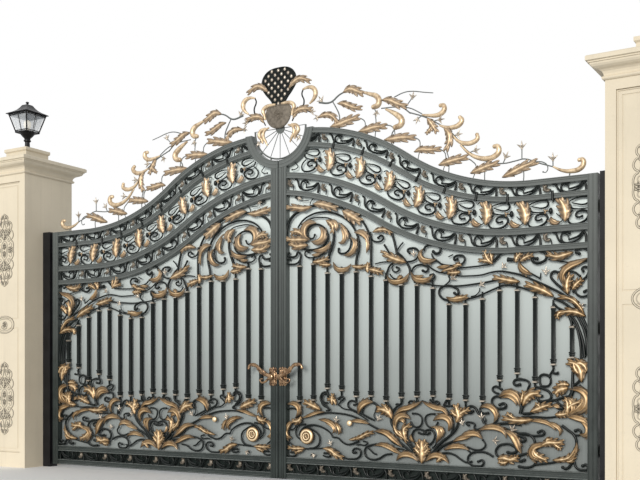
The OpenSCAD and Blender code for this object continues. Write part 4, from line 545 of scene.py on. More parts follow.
# The crest's gilded hooks, round bars that end in a thick curl.
CREST_HOOKS = [
    (16, 42, [(800, 3300), (900, 3262), (950, 3240), (978, 3200), (966, 3162), (928, 3152)]),
    (18, 44, [(1040, 3118), (1100, 3085), (1150, 3050), (1186, 3010), (1178, 2972),
     (1128, 2956)]),
    (14, 30, [(1370, 3025), (1430, 3010), (1490, 3003), (1530, 3010), (1562, 3040),
     (1555, 3072), (1530, 3076)]),
    (14, 30, [(1520, 2920), (1580, 2895), (1640, 2888), (1690, 2903), (1712, 2936),
     (1696, 2958)]),
    (12, 28, [(1625, 2840), (1680, 2775), (1740, 2748), (1800, 2748), (1842, 2774),
     (1838, 2804)]),
    (14, 34, [(1700, 2740), (1780, 2660), (1850, 2622), (1920, 2608), (1985, 2620),
     (2017, 2655), (2004, 2692), (1982, 2694)]),
    (12, 30, [(2440, 2486), (2510, 2450), (2580, 2438), (2640, 2448), (2668, 2482),
     (2660, 2512), (2638, 2514)]),
]
CREST_FOLIAGE = [
    (58, [(640, 3316), (710, 3333), (770, 3308), (830, 3274)]),
    (48, [(585, 3230), (640, 3222), (700, 3195), (760, 3168), (810, 3160)]),
    (54, [(1010, 3198), (1080, 3183), (1150, 3145), (1225, 3112)]),
    (62, [(515, 3042), (600, 3052), (680, 3070), (785, 3086)]),
    (58, [(790, 2966), (860, 2970), (930, 2980), (1040, 2976)]),
    (58, [(1030, 2866), (1100, 2863), (1170, 2865), (1300, 2850)]),
    (50, [(1300, 2734), (1360, 2745), (1430, 2735), (1525, 2728)]),
    (56, [(1515, 2603), (1580, 2615), (1640, 2625), (1755, 2636)]),
    (56, [(1785, 2508), (1850, 2525), (1920, 2545), (2010, 2560)]),
    (58, [(2045, 2448), (2110, 2470), (2200, 2505), (2310, 2536)]),
    (52, [(1560, 2892), (1600, 2850), (1610, 2790), (1580, 2715)]),
    (46, [(1415, 2992), (1455, 2940), (1480, 2900), (1500, 2868)]),
    (30, [(1460, 2918), (1435, 2890), (1408, 2868)]),
    (46, [(392, 3138), (460, 3151), (520, 3140), (560, 3106), (580, 3068)]),
]
# Three-pronged buds: length, direction in degrees and place of the cup.
CREST_BUDS = [
    (62, 120, (430, 3268)), (52, 265, (958, 3112)), (56, 75, (1282, 3168)),
    (54, 255, (1330, 3006)), (56, 200, (398, 3148)), (58, 0, (1510, 2964)),
    (58, 0, (1664, 2826)), (58, 10, (1812, 2680)), (58, 60, (2066, 2592)),
    (60, 90, (2440, 2532)), (60, 90, (2200, 2650)),
]
SHELL_HALF = [
    (50, 208), (82, 257), (140, 322), (172, 376), (172, 425), (150, 472), (108, 505), (58, 520),
    (0, 524)
]
SHIELD_HALF = [
    (0, 0), (60, 12), (105, 50), (127, 100), (132, 150), (112, 184), (52, 194), (0, 198)
]
# Half of the medallion, from the ring's centre: gilded hooks that swell in the middle.
MEDAL_BARS = [
    (14, 14, [(250, 296), (318, 306), (364, 285), (381, 245), (364, 200), (320, 163)]),
    (20, 20, [(30, 207), (90, 208), (136, 196), (162, 168), (150, 130), (140, 88)]),
    (20, 16, [(135, 12), (188, -5), (205, -45), (180, -82), (165, -118)]),
    (14, 12, [(100, 14), (150, -10), (162, -60), (138, -102), (118, -142)]),
]
MEDAL_STEMS = [
    (12, 10, [(250, 138), (262, 200), (240, 262), (254, 298)]),
    (9, 8, [(165, -90), (222, -112)]), (9, 8, [(250, 132), (300, 104), (345, 84)]),
    (12, 9, [(190, 108), (160, 74), (140, 40)]),
    (11, 9, [(110, 300), (128, 330), (160, 366)]),
]
MEDAL_FOLIAGE = [
    (60, [(152, 96), (212, 125), (270, 128), (338, 113)]),
    (56, [(108, 325), (160, 372), (218, 395), (270, 382), (320, 355)]),
    (28, [(150, 60), (168, 82), (196, 106)]),
]
MEDAL_BUDS = [
    (56, 0, (332, 90)), (56, 240, (218, -98)),
]
# Buds on the panels: length, direction in degrees and place of the cup.
PANEL_BUDS = [
    (52, 80, (573, 540)), (52, 60, (973, 565)), (48, 110, (523, 345)), (44, 200, (363, 250)),
    (52, 90, (1880, 595)), (52, 0, (1975, 430)), (48, 100, (1720, 548)),
    (56, 60, (2122, 508)), (52, 90, (1300, 1895)), (48, 80, (1135, 1866)),
    (52, 40, (1630, 1690)), (52, 60, (1898, 1868)), (56, 85, (2388, 1690)),
    (48, 40, (2048, 1758)), (48, 30, (1868, 1630)), (44, 250, (215, 2480)),
    (44, 40, (2642, 1430)),
]


def size(name):
    """A size from the panel, as it was typed there."""
    return round(getattr(bpy.context.scene.gate_sizes, name), 5)


def start_fresh():
    """Leaves edit mode and deselects everything."""
    if bpy.context.object and bpy.context.object.mode != "OBJECT":
        bpy.ops.object.mode_set(mode="OBJECT")
    bpy.ops.object.select_all(action="DESELECT")


def only(obj):
    """Makes one object the selected and active one."""
    start_fresh()
    obj.select_set(True)
    bpy.context.view_layer.objects.active = obj
    return obj


def edit(obj):
    """Opens an object's mesh for editing, with nothing selected."""
    only(obj)
    bpy.ops.object.mode_set(mode="EDIT")
    bpy.ops.mesh.select_mode(type="VERT")
    bpy.ops.mesh.select_all(action="DESELECT")


def pick(test, kind="VERT"):
    """Selects what passes a test of place in the mesh being edited."""
    bpy.ops.mesh.select_mode(type=kind)
    bpy.ops.mesh.select_all(action="DESELECT")
    mesh = bmesh.from_edit_mesh(bpy.context.object.data)
    if kind == "VERT":
        for v in mesh.verts:
            v.select = test(v.co)
    elif kind == "EDGE":
        for e in mesh.edges:
            e.select = all(test(v.co) for v in e.verts)
    else:
        for f in mesh.faces:
            f.select = test(f.calc_center_median(), f.normal)
    mesh.select_flush_mode()
    bmesh.update_edit_mesh(bpy.context.object.data)


def shift(x=0, y=0, z=0):
    bpy.ops.transform.translate(value=(x, y, z))


def close_up(obj):
    """Merges doubled points and turns the faces outwards."""
    edit(obj)
    bpy.ops.mesh.select_all(action="SELECT")
    bpy.ops.mesh.remove_doubles(threshold=0.01)
    bpy.ops.mesh.normals_make_consistent(inside=False)
    bpy.ops.object.mode_set(mode="OBJECT")
    return obj


def squeeze(factors, about):
    bpy.ops.transform.resize(value=factors, center_override=about)


def settle(obj):
    """Puts an object's place, turn and scale into its mesh."""
    only(obj)
    bpy.ops.object.transform_apply(location=True, rotation=True, scale=True)
    return obj


def apply_all(obj):
    """Applies every modifier of an object."""
    only(obj)
    for name in [m.name for m in obj.modifiers]:
        bpy.ops.object.modifier_apply(modifier=name)
    return obj


def one_piece(name, parts):
    """Joins parts into one piece."""
    start_fresh()
    for part in parts:
        part.select_set(True)
    bpy.context.view_layer.objects.active = parts[0]
    if len(parts) > 1:
        bpy.ops.object.join()
    piece = bpy.context.object
    piece.name = piece.data.name = name
    return piece


def face_out(obj):
    """Turns the faces outwards where a mirror or a spin turned them inside out."""
    mesh = bmesh.new()
    mesh.from_mesh(obj.data)
    if mesh.calc_volume(signed=True) < 0:
        bmesh.ops.reverse_faces(mesh, faces=mesh.faces)
        mesh.to_mesh(obj.data)
    mesh.free()


def smooth(obj, degrees=40):
    only(obj)
    bpy.ops.object.shade_smooth_by_angle(angle=math.radians(degrees))
    return obj


def to_place(obj, location, turn=(0, 0, 0)):
    """Brings a part drawn in millimetres to its place in the frame."""
    obj.rotation_euler = turn
    obj.scale = (0.001, 0.001, 0.001)
    obj.location = location
    return settle(obj)


def hang(obj, y=0):
    """Stands a drawing up at the gate: it is drawn in millimetres in the XY plane with its
    front towards +Z, and y is how far it stands behind the leaves' middle plane."""
    return to_place(obj, (GATE_X, GATE_Y + y / 1000, 0), UPRIGHT)


def again(master):
    """A copy of a modelled part, with a mesh of its own."""
    part = master.copy()
    part.data = master.data.copy()
    part.hide_render = part.hide_viewport = False
    bpy.context.scene.collection.objects.link(part)
    return part


def put_away(obj):
    """Takes a master out once its copies are made."""
    bpy.data.objects.remove(obj)


def mirrored(obj, axis=0, about=0.0):
    """A mirrored copy of a piece, with its faces outwards."""
    twin = again(obj)
    twin.scale[axis] = -1
    twin.location[axis] = 2 * about
    settle(twin)
    face_out(twin)
    return twin


def new_curve(name, **settings):
    """An object with an empty curve and the curve's settings."""
    drawing = bpy.data.curves.new(name, "CURVE")
    drawing.dimensions = "3D"
    for key, value in settings.items():
        setattr(drawing, key, value)
    obj = bpy.data.objects.new(name, drawing)
    bpy.context.scene.collection.objects.link(obj)
    return obj


def add_line(obj, points, kind="POLY", closed=False):
    """Adds a straight-sided or a smooth BEZIER line through the points to a curve."""
    line = obj.data.splines.new(kind)
    knots = line.points if kind == "POLY" else line.bezier_points
    knots.add(len(points) - 1)
    line.use_cyclic_u = closed
    for knot, p in zip(knots, points):
        spot = (*p, 0)[:3]
        if kind == "POLY":
            knot.co = (*spot, 1)
        else:
            knot.co = spot
            knot.handle_left_type = knot.handle_right_type = "AUTO"
    return line


def as_mesh(obj):
    """Turns a curve into a mesh."""
    only(obj)
    bpy.ops.object.convert(target="MESH")
    return bpy.context.object


def tubes(name, runs, steps=5, deep=1.0, sides=2, bold=1.0, swell=0.0):
    """Forged round bars along (start width, end width, points). A bar that curls up ends
    in a round eye, and swell thickens a bar towards its middle."""
    drawing = new_curve(name, twist_mode="Z_UP", bevel_depth=0.5, bevel_resolution=sides,
                        resolution_u=steps, use_fill_caps=True)
    for a, b, points in runs:
        line = add_line(drawing, points, "BEZIER")
        last = len(points) - 1
        for i, knot in enumerate(line.bezier_points):
            knot.radius = bold * (a + (b - a) * i / last
                                  + swell * math.sin(math.pi * i / last))
    parts = [close_up(as_mesh(drawing))]
    ends = [(b, points[-1]) for a, b, points in runs if curls(points)]
    if ends:
        eye = turned("eye", [(0, 1), (0.5, 0.88), (0.86, 0.5), (1, 0), (0.86, -0.5),
                             (0.5, -0.88), (0, -1)], 10)
        for b, p in ends:
            boss = again(eye)
            boss.location = (p[0], p[1], 0)
            boss.scale = (0.42 * b * bold + 4,) * 3
            parts.append(boss)
        put_away(eye)
    obj = one_piece(name, parts)
    if deep != 1:
        obj.scale.z = deep
        settle(obj)
    return smooth(obj, 50)


def curls(points):
    """Whether a bar turns sharply over its last four points."""
    return abs(turning(points[-4:])) > 1.3


def swept(name, path, profile):
    """Sweeps a closed profile (up, forward) along a drawn path."""
    shape = new_curve(name + "_profile", dimensions="2D")
    add_line(shape, profile, closed=True)
    drawing = new_curve(name, twist_mode="Z_UP", bevel_mode="OBJECT", bevel_object=shape,
                        use_fill_caps=True)
    add_line(drawing, path)
    obj = close_up(as_mesh(drawing))
    put_away(shape)
    return smooth(obj, 30)


def paint_relief(obj, low, high):
    """Stores how high each point of a relief stands, from 0 in the hollows to 1; the gilding
    paints its highlights and shade from it.
    """
    layer = obj.data.attributes.new("relief", "FLOAT", "POINT")
    for v in obj.data.vertices:
        layer.data[v.index].value = min(1, max(0, (v.co.z - low) / (high - low)))


def leaf_strip(name, columns, half_width):
    """A strip from x 0 to 1 with a mid rib, as wide at each column as half_width says."""
    start_fresh()
    bpy.ops.mesh.primitive_grid_add(x_subdivisions=columns, y_subdivisions=4, size=1,
                                    location=(0.5, 0, 0))
    obj = settle(bpy.context.object)
    obj.name = obj.data.name = name
    edit(obj)
    for k in range(columns + 1):
        pick(lambda co: abs(co.x - k / columns) < 0.01)
        squeeze((1, 2 * half_width(k / columns), 1), (k / columns, 0, 0))
    return obj


def close_back(obj):
    """Rounds a relief off, stores how high it stands and closes its back at z 0."""
    obj.modifiers.new("Rounding", "SUBSURF").levels = 1
    apply_all(obj)
    paint_relief(obj, 0.2, 0.88)
    edit(obj)
    bpy.ops.mesh.select_non_manifold()
    bpy.ops.mesh.extrude_edges_move(TRANSFORM_OT_translate={"value": (0, 0, -0.3)})
    squeeze((1, 1, 0), (0, 0, 0))
    bpy.ops.mesh.edge_face_add()
    bpy.ops.object.mode_set(mode="OBJECT")
    face_out(obj)
    obj.hide_render = obj.hide_viewport = True
    return obj


def draw_out(x, y, narrow):
    """Draws the picked edges out by x and y and narrows them about their middle."""
    bpy.ops.mesh.extrude_edges_move(TRANSFORM_OT_translate={"value": (x, y, 0)})
    chosen = [v.co.copy() for v in bmesh.from_edit_mesh(bpy.context.object.data).verts
              if v.select]
    squeeze((narrow, 1, 1), sum(chosen, Vector()) / len(chosen))


def model_leaf(name, lobes):
    """An acanthus leaf from x 0 to 1, y -0.5 to 0.5 and z 0 to 1: a broad body whose rim
    is drawn out into forward lobes, with a rib, grooves and a lifted tip."""
    step = 1 / (2 * lobes)

    def body(x):
        return 0.07 + 0.24 * math.sin(math.pi * min(1, x * 1.06) ** 0.85) ** 0.8

    obj = leaf_strip(name, 2 * lobes, body)
    for side in (-1, 1):
        for k in range(lobes):
            at = (2 * k + 1) * step
            reach = 0.5 - body(at) if k < lobes - 1 else 0.13
            reach *= 0.55 + 0.45 * math.sin(math.pi * (0.12 + 0.7 * at))
            pick(lambda co: side * co.y > body(co.x) - 0.004 and abs(co.z) < 0.001
                 and side * co.y < body(co.x) + 0.004
                 and abs(co.x - at) < 1.1 * step, "EDGE")
            for out, on, narrow in ((0.5, 0.5, 0.86), (0.34, 0.55, 0.62), (0.16, 0.5, 0.2)):
                draw_out(on * step, side * out * reach, narrow)
    mesh = bmesh.from_edit_mesh(obj.data)
    for v in mesh.verts:
        x, y = v.co.x, abs(v.co.y)
        odd = round(x / step) % 2
        if y < 0.01:
            height = 0.88
        elif y < 0.75 * body(x):
            height = 0.66 if odd else 0.4
        elif y < body(x) + 0.004:
            height = 0.62 if odd else 0.08
        else:
            height = 0.66 if len(v.link_edges) > 3 else 0.2
        v.co.z = height * (0.55 + 0.45 * math.sin(math.pi * min(1, 0.15 + 0.8 * x)))
        v.co.z += 0.22 * max(0, x - 0.6) / 0.4
    bmesh.update_edit_mesh(obj.data)
    bpy.ops.object.mode_set(mode="OBJECT")
    return close_back(obj)


def model_sheath(name):
    """A smooth horn that wraps a scroll: two rolled lips with a groove, and notches on
    its outer side."""
    def body(x):
        return 0.05 + 0.42 * math.sin(math.pi * x) ** 0.75

    obj = leaf_strip(name, 12, body)
    for at in (3 / 12, 5 / 12, 7 / 12, 9 / 12):
        pick(lambda co: co.y < -body(co.x) + 0.004 and -1.1 / 12 < co.x - at < 0.1 / 12, "EDGE")
        for on, out, narrow in ((0.045, 0.09, 0.75), (0.05, 0.07, 0.3)):
            draw_out(on, -out, narrow)
    mesh = bmesh.from_edit_mesh(obj.data)
    for v in mesh.verts:
        share = v.co.y / body(v.co.x)
        height = 0.5 if share < -1.3 else 0.12
        if abs(share) < 0.1:
            height = 0.3
        elif 0.3 < share < 0.7:
            height = 1.0
        elif -0.7 < share < -0.3:
            height = 0.72
        v.co.z = height * (0.35 + 0.65 * math.sin(math.pi * v.co.x) ** 0.6)
    bmesh.update_edit_mesh(obj.data)
    bpy.ops.object.mode_set(mode="OBJECT")
    return close_back(obj)


def lay_leaf(master, width, spine, rise, z=0):
    """Bends a copy of a leaf along its spine, with its back at the height z."""
    path = new_curve("guide", twist_mode="Z_UP", resolution_u=8)
    line = add_line(path, spine, "BEZIER")
    leaf = again(master)
    leaf.scale = (line.calc_length(), width, rise)
    settle(leaf)
    face_out(leaf)
    bend = leaf.modifiers.new("Bend", "CURVE")
    bend.object = path
    apply_all(leaf)
    put_away(path)
    leaf.location.z = z
    settle(leaf)
    return leaf


def turning(points):
    """How far a line turns from its start to its end, with its sign."""
    marks = [Vector(p[:2]) for p in points]
    return sum((b - a).angle_signed(c - b, 0) for a, b, c in zip(marks, marks[1:], marks[2:]))


def foliage(name, masters, leaves, horns, z=0, lush=1.0):
    """One piece of the leaves and of the horns that wrap the scrolls, each given as its
    width and spine. The notches of a horn lie on the outer side of its bend."""
    most, most_horn = 1000 * size("leaf_rise"), 1000 * size("horn_rise")
    laid = [lay_leaf(masters[0 if width >= 44 else 1], lush * width, spine,
                     min(most, 10 + width / 3), z) for width, spine in leaves]
    laid += [lay_leaf(masters[2], (lush if turning(spine) < 0 else -lush) * width, spine,
                      min(most_horn, 8 + width / 3), z) for width, spine in horns]
    return smooth(one_piece(name, laid), 60)


def slab(name, outline, thick, edge, z=0):
    """A plate with a rounded edge, cut to a closed smooth outline."""
    drawing = new_curve(name, dimensions="2D", fill_mode="BOTH", extrude=thick / 2 - edge,
                        bevel_depth=edge, bevel_resolution=2, resolution_u=6)
    add_line(drawing, outline, "BEZIER", closed=True)
    obj = close_up(as_mesh(drawing))
    obj.location.z = z + thick / 2
    settle(obj)
    return smooth(obj, 40)


def turned(name, profile, steps=24):
    """A shape turned round the upright axis from (radius, height) pairs."""
    drawing = new_curve(name)
    add_line(drawing, [(radius, 0, height) for radius, height in profile])
    obj = as_mesh(drawing)
    edit(obj)
    bpy.ops.mesh.select_all(action="SELECT")
    bpy.ops.mesh.spin(steps=steps, angle=2 * math.pi, center=(0, 0, 0), axis=(0, 0, 1))
    bpy.ops.object.mode_set(mode="OBJECT")
    close_up(obj)
    return smooth(obj, 35)


def squared(name, profile):
    """A shape with square sections, drawn up through (half width, height) pairs."""
    half, height = profile[0]
    start_fresh()
    bpy.ops.mesh.primitive_plane_add(size=2 * half, location=(0, 0, height))
    obj = settle(bpy.context.object)
    obj.name = obj.data.name = name
    edit(obj)
    bpy.ops.mesh.select_all(action="SELECT")
    for next_half, next_height in profile[1:]:
        bpy.ops.mesh.extrude_region_move(
            TRANSFORM_OT_translate={"value": (0, 0, next_height - height)})
        squeeze((next_half / half, next_half / half, 1), (0, 0, next_height))
        half, height = next_half, next_height
    bpy.ops.object.mode_set(mode="OBJECT")
    close_up(obj)
    return smooth(obj, 30)


def place(obj, x=0, y=0, z=0, turn=0):
    """Moves and turns a part in its drawing."""
    obj.rotation_euler = (0, 0, turn)
    obj.location = (x, y, z)
    return settle(obj)


def tint(name):
    """A colour from the panel."""
    return tuple(getattr(bpy.context.scene.gate_colours, name))


def new_finish(name, roughness, metallic=0.0, colour=None):
    """Starts a finish and gives its node tree, its shader and the place on the piece."""
    finish = bpy.data.materials.new(name)
    finish.use_nodes = True
    tree = finish.node_tree
    shader = tree.nodes["Principled BSDF"]
    shader.inputs["Roughness"].default_value = roughness
    shader.inputs["Metallic"].default_value = metallic
    if colour:
        shader.inputs["Base Color"].default_value = (*colour, 1)
        finish.diffuse_color = (*colour, 1)
    spot = tree.nodes.new("ShaderNodeTexCoord").outputs["Object"]
    return finish, tree, shader, spot


def coat(tree, shader, colour, roughness=None):
    """Leads a colour, and a roughness where it varies, to the shader."""
    tree.links.new(colour, shader.inputs["Base Color"])
    if roughness:
        tree.links.new(roughness, shader.inputs["Roughness"])


def stretched(tree, spot, scale):
    """Stretches a pattern's place along the axes."""
    mapping = tree.nodes.new("ShaderNodeMapping")
    mapping.inputs["Scale"].default_value = scale
    tree.links.new(spot, mapping.inputs["Vector"])
    return mapping.outputs["Vector"]


def noise(tree, spot, scale, detail=4.0, roughness=0.55, distortion=0.0):
    node = tree.nodes.new("ShaderNodeTexNoise")
    node.inputs["Scale"].default_value = scale
    node.inputs["Detail"].default_value = detail
    node.inputs["Roughness"].default_value = roughness
    node.inputs["Distortion"].default_value = distortion
    tree.links.new(spot, node.inputs["Vector"])
    return node.outputs["Fac"]


def spread(tree, value, low, high, to_low=0.0, to_high=1.0):
    """Spreads a value's range from low to high over a new range."""
    node = tree.nodes.new("ShaderNodeMapRange")
    for socket, number in zip(("From Min", "From Max", "To Min", "To Max"),
                              (low, high, to_low, to_high)):
        node.inputs[socket].default_value = number
    tree.links.new(value, node.inputs["Value"])
    return node.outputs["Result"]


def mixed(tree, factor, under, over):
    """Lays one colour over another; each is a colour or a socket."""
    node = tree.nodes.new("ShaderNodeMix")
    node.data_type = "RGBA"
    for socket, given in zip((node.inputs[0], node.inputs[6], node.inputs[7]),
                             (factor, under, over)):
        if isinstance(given, bpy.types.NodeSocket):
            tree.links.new(given, socket)
        elif isinstance(given, (int, float)):
            socket.default_value = given
        else:
            socket.default_value = (*given, 1)
    return node.outputs[2]


def facing(tree, axis="Z", low=0.35, high=0.95):
    """How much a surface faces along an axis; upwards, dust and sky light gather."""
    normal = tree.nodes.new("ShaderNodeNewGeometry").outputs["Normal"]
    parts = tree.nodes.new("ShaderNodeSeparateXYZ")
    tree.links.new(normal, parts.inputs["Vector"])
    return spread(tree, parts.outputs[axis], low, high)


def emboss(tree, shader, height, strength, distance, under=None):
    """Raises the surface by a value in its finish, over what is embossed already."""
    node = tree.nodes.new("ShaderNodeBump")
    node.inputs["Strength"].default_value = strength
    node.inputs["Distance"].default_value = distance
    tree.links.new(height, node.inputs["Height"])
    if under:
        tree.links.new(under, node.inputs["Normal"])
    tree.links.new(node.outputs["Normal"], shader.inputs["Normal"])
    return node.outputs["Normal"]


def shade(colour, factor):
    """A colour made darker or lighter."""
    return tuple(min(1, c * factor) for c in colour)


def painted_stone(flank_shade=1.0):
    """Trowelled, painted render with fine grain, faint streaks and some dust; carving gets
    painted shade on its flanks, which turn away from the front."""
    colour = tint("stone")
    finish, tree, shader, spot = new_finish("painted_stone", 0.78, 0, colour)
    clouds = spread(tree, noise(tree, spot, 1.7, 6), 0.3, 0.7)
    base = mixed(tree, clouds, shade(colour, 0.93), shade(colour, 1.05))
    streaks = noise(tree, stretched(tree, spot, (11, 11, 0.7)), 1.0, 5, 0.6)
    base = mixed(tree, spread(tree, streaks, 0.52, 0.8, 0, 0.4), base, shade(colour, 0.72))
    spots = spread(tree, noise(tree, spot, 38, 3), 0.62, 0.75, 0, 0.35)
    base = mixed(tree, spots, base, shade(colour, 0.82))
    # Painted shade: on carving, surfaces that turn away from the front are darkened.
    if flank_shade < 1:
        base = mixed(tree, facing(tree, "Y", -0.985, -0.8), shade(colour, 0.92),
                     shade(colour, flank_shade))
    coat(tree, shader, base)
    waves = emboss(tree, shader, noise(tree, spot, 14, 4), 0.25, 0.004)
    emboss(tree, shader, noise(tree, spot, 420, 3), 0.22, 0.0012, waves)
    return finish


def by_height(tree, spot, low, high, most=1.0):
    """A value that rises from 0 at one height to its most at another."""
    height = tree.nodes.new("ShaderNodeSeparateXYZ")
    tree.links.new(spot, height.inputs["Vector"])
    return spread(tree, height.outputs["Z"], low, high, 0, most)


def satin_paint(name, colour, dust, roughness=0.36, gloss=0.4, paler_at_top=0.0):
    """Brushed-on satin paint over forged iron, with dust and a painted sky sheen where it faces
    up, and paler towards the top."""
    finish, tree, shader, spot = new_finish(name, roughness, 0, colour)
    patches = spread(tree, noise(tree, spot, 9, 5), 0.3, 0.7)
    base = mixed(tree, patches, shade(colour, 0.8), shade(colour, 1.25))
    # Paler towards the top, mixed towards the second colour.
    base = mixed(tree, by_height(tree, spot, 0.8, 2.6, paler_at_top), base, dust)
    # Dust and a painted sky sheen gather on what faces upwards.
    top = facing(tree)
    grain = spread(tree, noise(tree, spot, 60, 3), 0.25, 0.6, 0.35, 1)
    node = tree.nodes.new("ShaderNodeMath")
    node.operation = "MULTIPLY"
    tree.links.new(top, node.inputs[0])
    tree.links.new(grain, node.inputs[1])
    base = mixed(tree, node.outputs[0], base, dust)
    coat(tree, shader, base,
         spread(tree, patches, 0, 1, roughness - 0.07, roughness + 0.12))
    shader.inputs["Specular IOR Level"].default_value = gloss
    hammered = emboss(tree, shader, noise(tree, spot, 130, 2), 0.18, 0.0012)
    emboss(tree, shader, noise(tree, spot, 700, 2), 0.1, 0.0004, hammered)
    return finish


def gilding(name, carved):
    """Matt gold leaf, worn bright and brown in random patches; carved pieces get a painted
    highlight on their ridges and painted shade in their hollows, and the gold is painted
    paler towards the top as light there.
    """
    bright, gold, brown = tint("gold_highlight_and_wear"), tint("gold"), tint("gold_shade_and_wear")
    finish, tree, shader, spot = new_finish(name, 0.42, 0.55, gold)
    wear = spread(tree, noise(tree, spot, 26, 5), 0.3, 0.72)
    base = mixed(tree, wear, shade(gold, 0.72), bright)
    # Painted highlight and shade: ridges of the relief are brightened and hollows darkened.
    if carved:
        relief = tree.nodes.new("ShaderNodeAttribute")
        relief.attribute_name = "relief"
        ramp = tree.nodes.new("ShaderNodeValToRGB")
        marks = ramp.color_ramp.elements
        marks[0].position, marks[0].color = 0.27, (*brown, 1)
        marks[1].position, marks[1].color = 0.88, (*bright, 1)
        marks.new(0.6).color = (*gold, 1)
        tree.links.new(relief.outputs["Fac"], ramp.inputs["Fac"])
        base = mixed(tree, 0.85, base, ramp.outputs["Color"])
    # Painted light: the gold is paler and pinker towards the top.
    base = mixed(tree, by_height(tree, spot, 1.6, 2.7, 0.26), base, (0.76, 0.62, 0.48))
    rubbed = spread(tree, noise(tree, spot, 90, 4), 0.55, 0.8, 0, 0.7)
    base = mixed(tree, rubbed, base, brown)
    coat(tree, shader, base, spread(tree, wear, 0, 1, 0.5, 0.34))
    emboss(tree, shader, noise(tree, spot, 240, 3), 0.3, 0.0012)
    return finish


def sheet_finish():
    """A satin sheet with soft clouds and faint upright brushing; a painted sky reflection
    darkens it towards the bottom, and painted light brightens it behind the top friezes.
    """
    colour = tint("sheet")
    finish, tree, shader, spot = new_finish("satin_sheet", 0.42, 0.2, colour)
    shader.inputs["Specular IOR Level"].default_value = 0.25
    clouds = noise(tree, stretched(tree, spot, (0.9, 1, 0.7)), 1.3, 2, 0.5, 0.4)
    # Painted reflection of the sky: darker towards the bottom.
    base = mixed(tree, by_height(tree, spot, 0.5, 2.4), shade(colour, 0.19), colour)
    # Painted light: lighter at the top, behind the friezes.
    base = mixed(tree, by_height(tree, spot, 1.9, 2.7), base, shade(colour, 1.35))
    base = mixed(tree, spread(tree, clouds, 0.15, 0.85, 0, 0.5), base, shade(colour, 0.72))
    brushing = noise(tree, stretched(tree, spot, (90, 90, 1.5)), 1.0, 3)
    base = mixed(tree, spread(tree, brushing, 0.35, 0.7, 0, 0.12), base, shade(colour, 0.6))
    base = mixed(tree, by_height(tree, spot, 0.185, 0.18), base, shade(tint("frame"), 0.9))
    coat(tree, shader, base, spread(tree, clouds, 0.15, 0.85, 0.36, 0.5))
    emboss(tree, shader, noise(tree, spot, 2.5, 1), 0.08, 0.01)
    return finish


def cast_metal(name, colour, hollow, roughness=0.3, metallic=0.75):
    """Polished cast metal, tarnished in blotches."""
    finish, tree, shader, spot = new_finish(name, roughness, metallic, colour)
    tarnish = spread(tree, noise(tree, spot, 34, 5), 0.38, 0.7)
    coat(tree, shader, mixed(tree, tarnish, colour, hollow),
         spread(tree, tarnish, 0, 1, roughness - 0.08, roughness + 0.15))
    emboss(tree, shader, noise(tree, spot, 300, 3), 0.2, 0.0008)
    return finish


def pane_glass():
    """Clear lantern glass with a little dust on it."""
    finish, tree, shader, spot = new_finish("lantern_pane", 0.08, 0, tint("glass"))
    dust = spread(tree, noise(tree, spot, 9, 3), 0.3, 0.8, 0.2, 0.34)
    tree.links.new(dust, shader.inputs["Alpha"])
    tree.links.new(spread(tree, dust, 0.2, 0.34, 0.05, 0.3), shader.inputs["Roughness"])
    return finish


def lamp_finish():
    """Warm white glass of a lamp that glows a little."""
    finish, tree, shader, spot = new_finish("opal_lamp", 0.35, 0, (0.95, 0.92, 0.84))
    glow = noise(tree, spot, 20, 2)
    coat(tree, shader, mixed(tree, glow, (0.98, 0.95, 0.88), (0.9, 0.86, 0.74)))
    shader.inputs["Emission Color"].default_value = (1.0, 0.9, 0.7, 1)
    shader.inputs["Emission Strength"].default_value = 0.5
    return finish


def floor_finish():
    """A plain pale floor with hardly any pattern."""
    finish, tree, shader, spot = new_finish("pale_floor", 0.9, 0, (0.9, 0.89, 0.87))
    coat(tree, shader, mixed(tree, noise(tree, spot, 0.5, 2), (0.88, 0.87, 0.85),
                             (0.92, 0.91, 0.89)))
    return finish


FINISHES = {}


def finish_of(name):
    """The finish by its name, made when it is first asked for."""
    if name not in FINISHES:
        makers = {
            "stone": painted_stone,
            "carving": lambda: painted_stone(0.22),
            # The satin paints' second colour is dust with a painted sky sheen on upward faces.
            "frame": lambda: satin_paint("frame_paint", tint("frame"), tint("dust"), 0.4, 0.5,
                                         0.32),
            "bar": lambda: satin_paint("bar_paint", tint("bar"), (0.07, 0.075, 0.075), 0.3,
                                       0.22),
            "gilt_leaf": lambda: gilding("gilded_leaf", True),
            "gilt_bar": lambda: gilding("gilded_bar", False),
            "sheet": sheet_finish,
            "lantern": lambda: satin_paint("lantern_paint", (0.007, 0.007, 0.008),
                                           (0.04, 0.04, 0.042), 0.38, 0.25),
            "pane": pane_glass,
            "lamp": lamp_finish,
            "bronze": lambda: cast_metal("handle_bronze", tint("bronze"),
                                         (0.05, 0.022, 0.016), 0.24),
            "shield": lambda: cast_metal("shield_bronze", (0.20, 0.17, 0.135),
                                         (0.09, 0.078, 0.06), 0.45, 0.5),
            "silver": lambda: cast_metal("silver_bud", (0.56, 0.50, 0.42),
                                         (0.22, 0.18, 0.14), 0.34, 0.6),
        }
        FINISHES[name] = makers[name]()
    return FINISHES[name]


def dress(piece, name, finish, body, *nodes):
    """Names a piece, gives it its finish, lets it ride on a body and stand for CAD nodes."""
    piece.name = piece.data.name = name
    piece.data.materials.clear()
    piece.data.materials.append(finish_of(finish))
    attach(piece, body)
    if nodes:
        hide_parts(*nodes)


def both_leaves(drawing, y, name, finish, stands_for=None, part="leaf"):
    """Hangs a drawing on the right leaf and its mirrored copy on the left leaf."""
    piece = hang(drawing, y)
    for side, obj in (("right", piece), ("left", mirrored(piece, about=GATE_X))):
        dress(obj, f"{side}_{name}", finish, f"{side}_{part}",
              *([f"{side}_{stands_for}"] if stands_for else []))


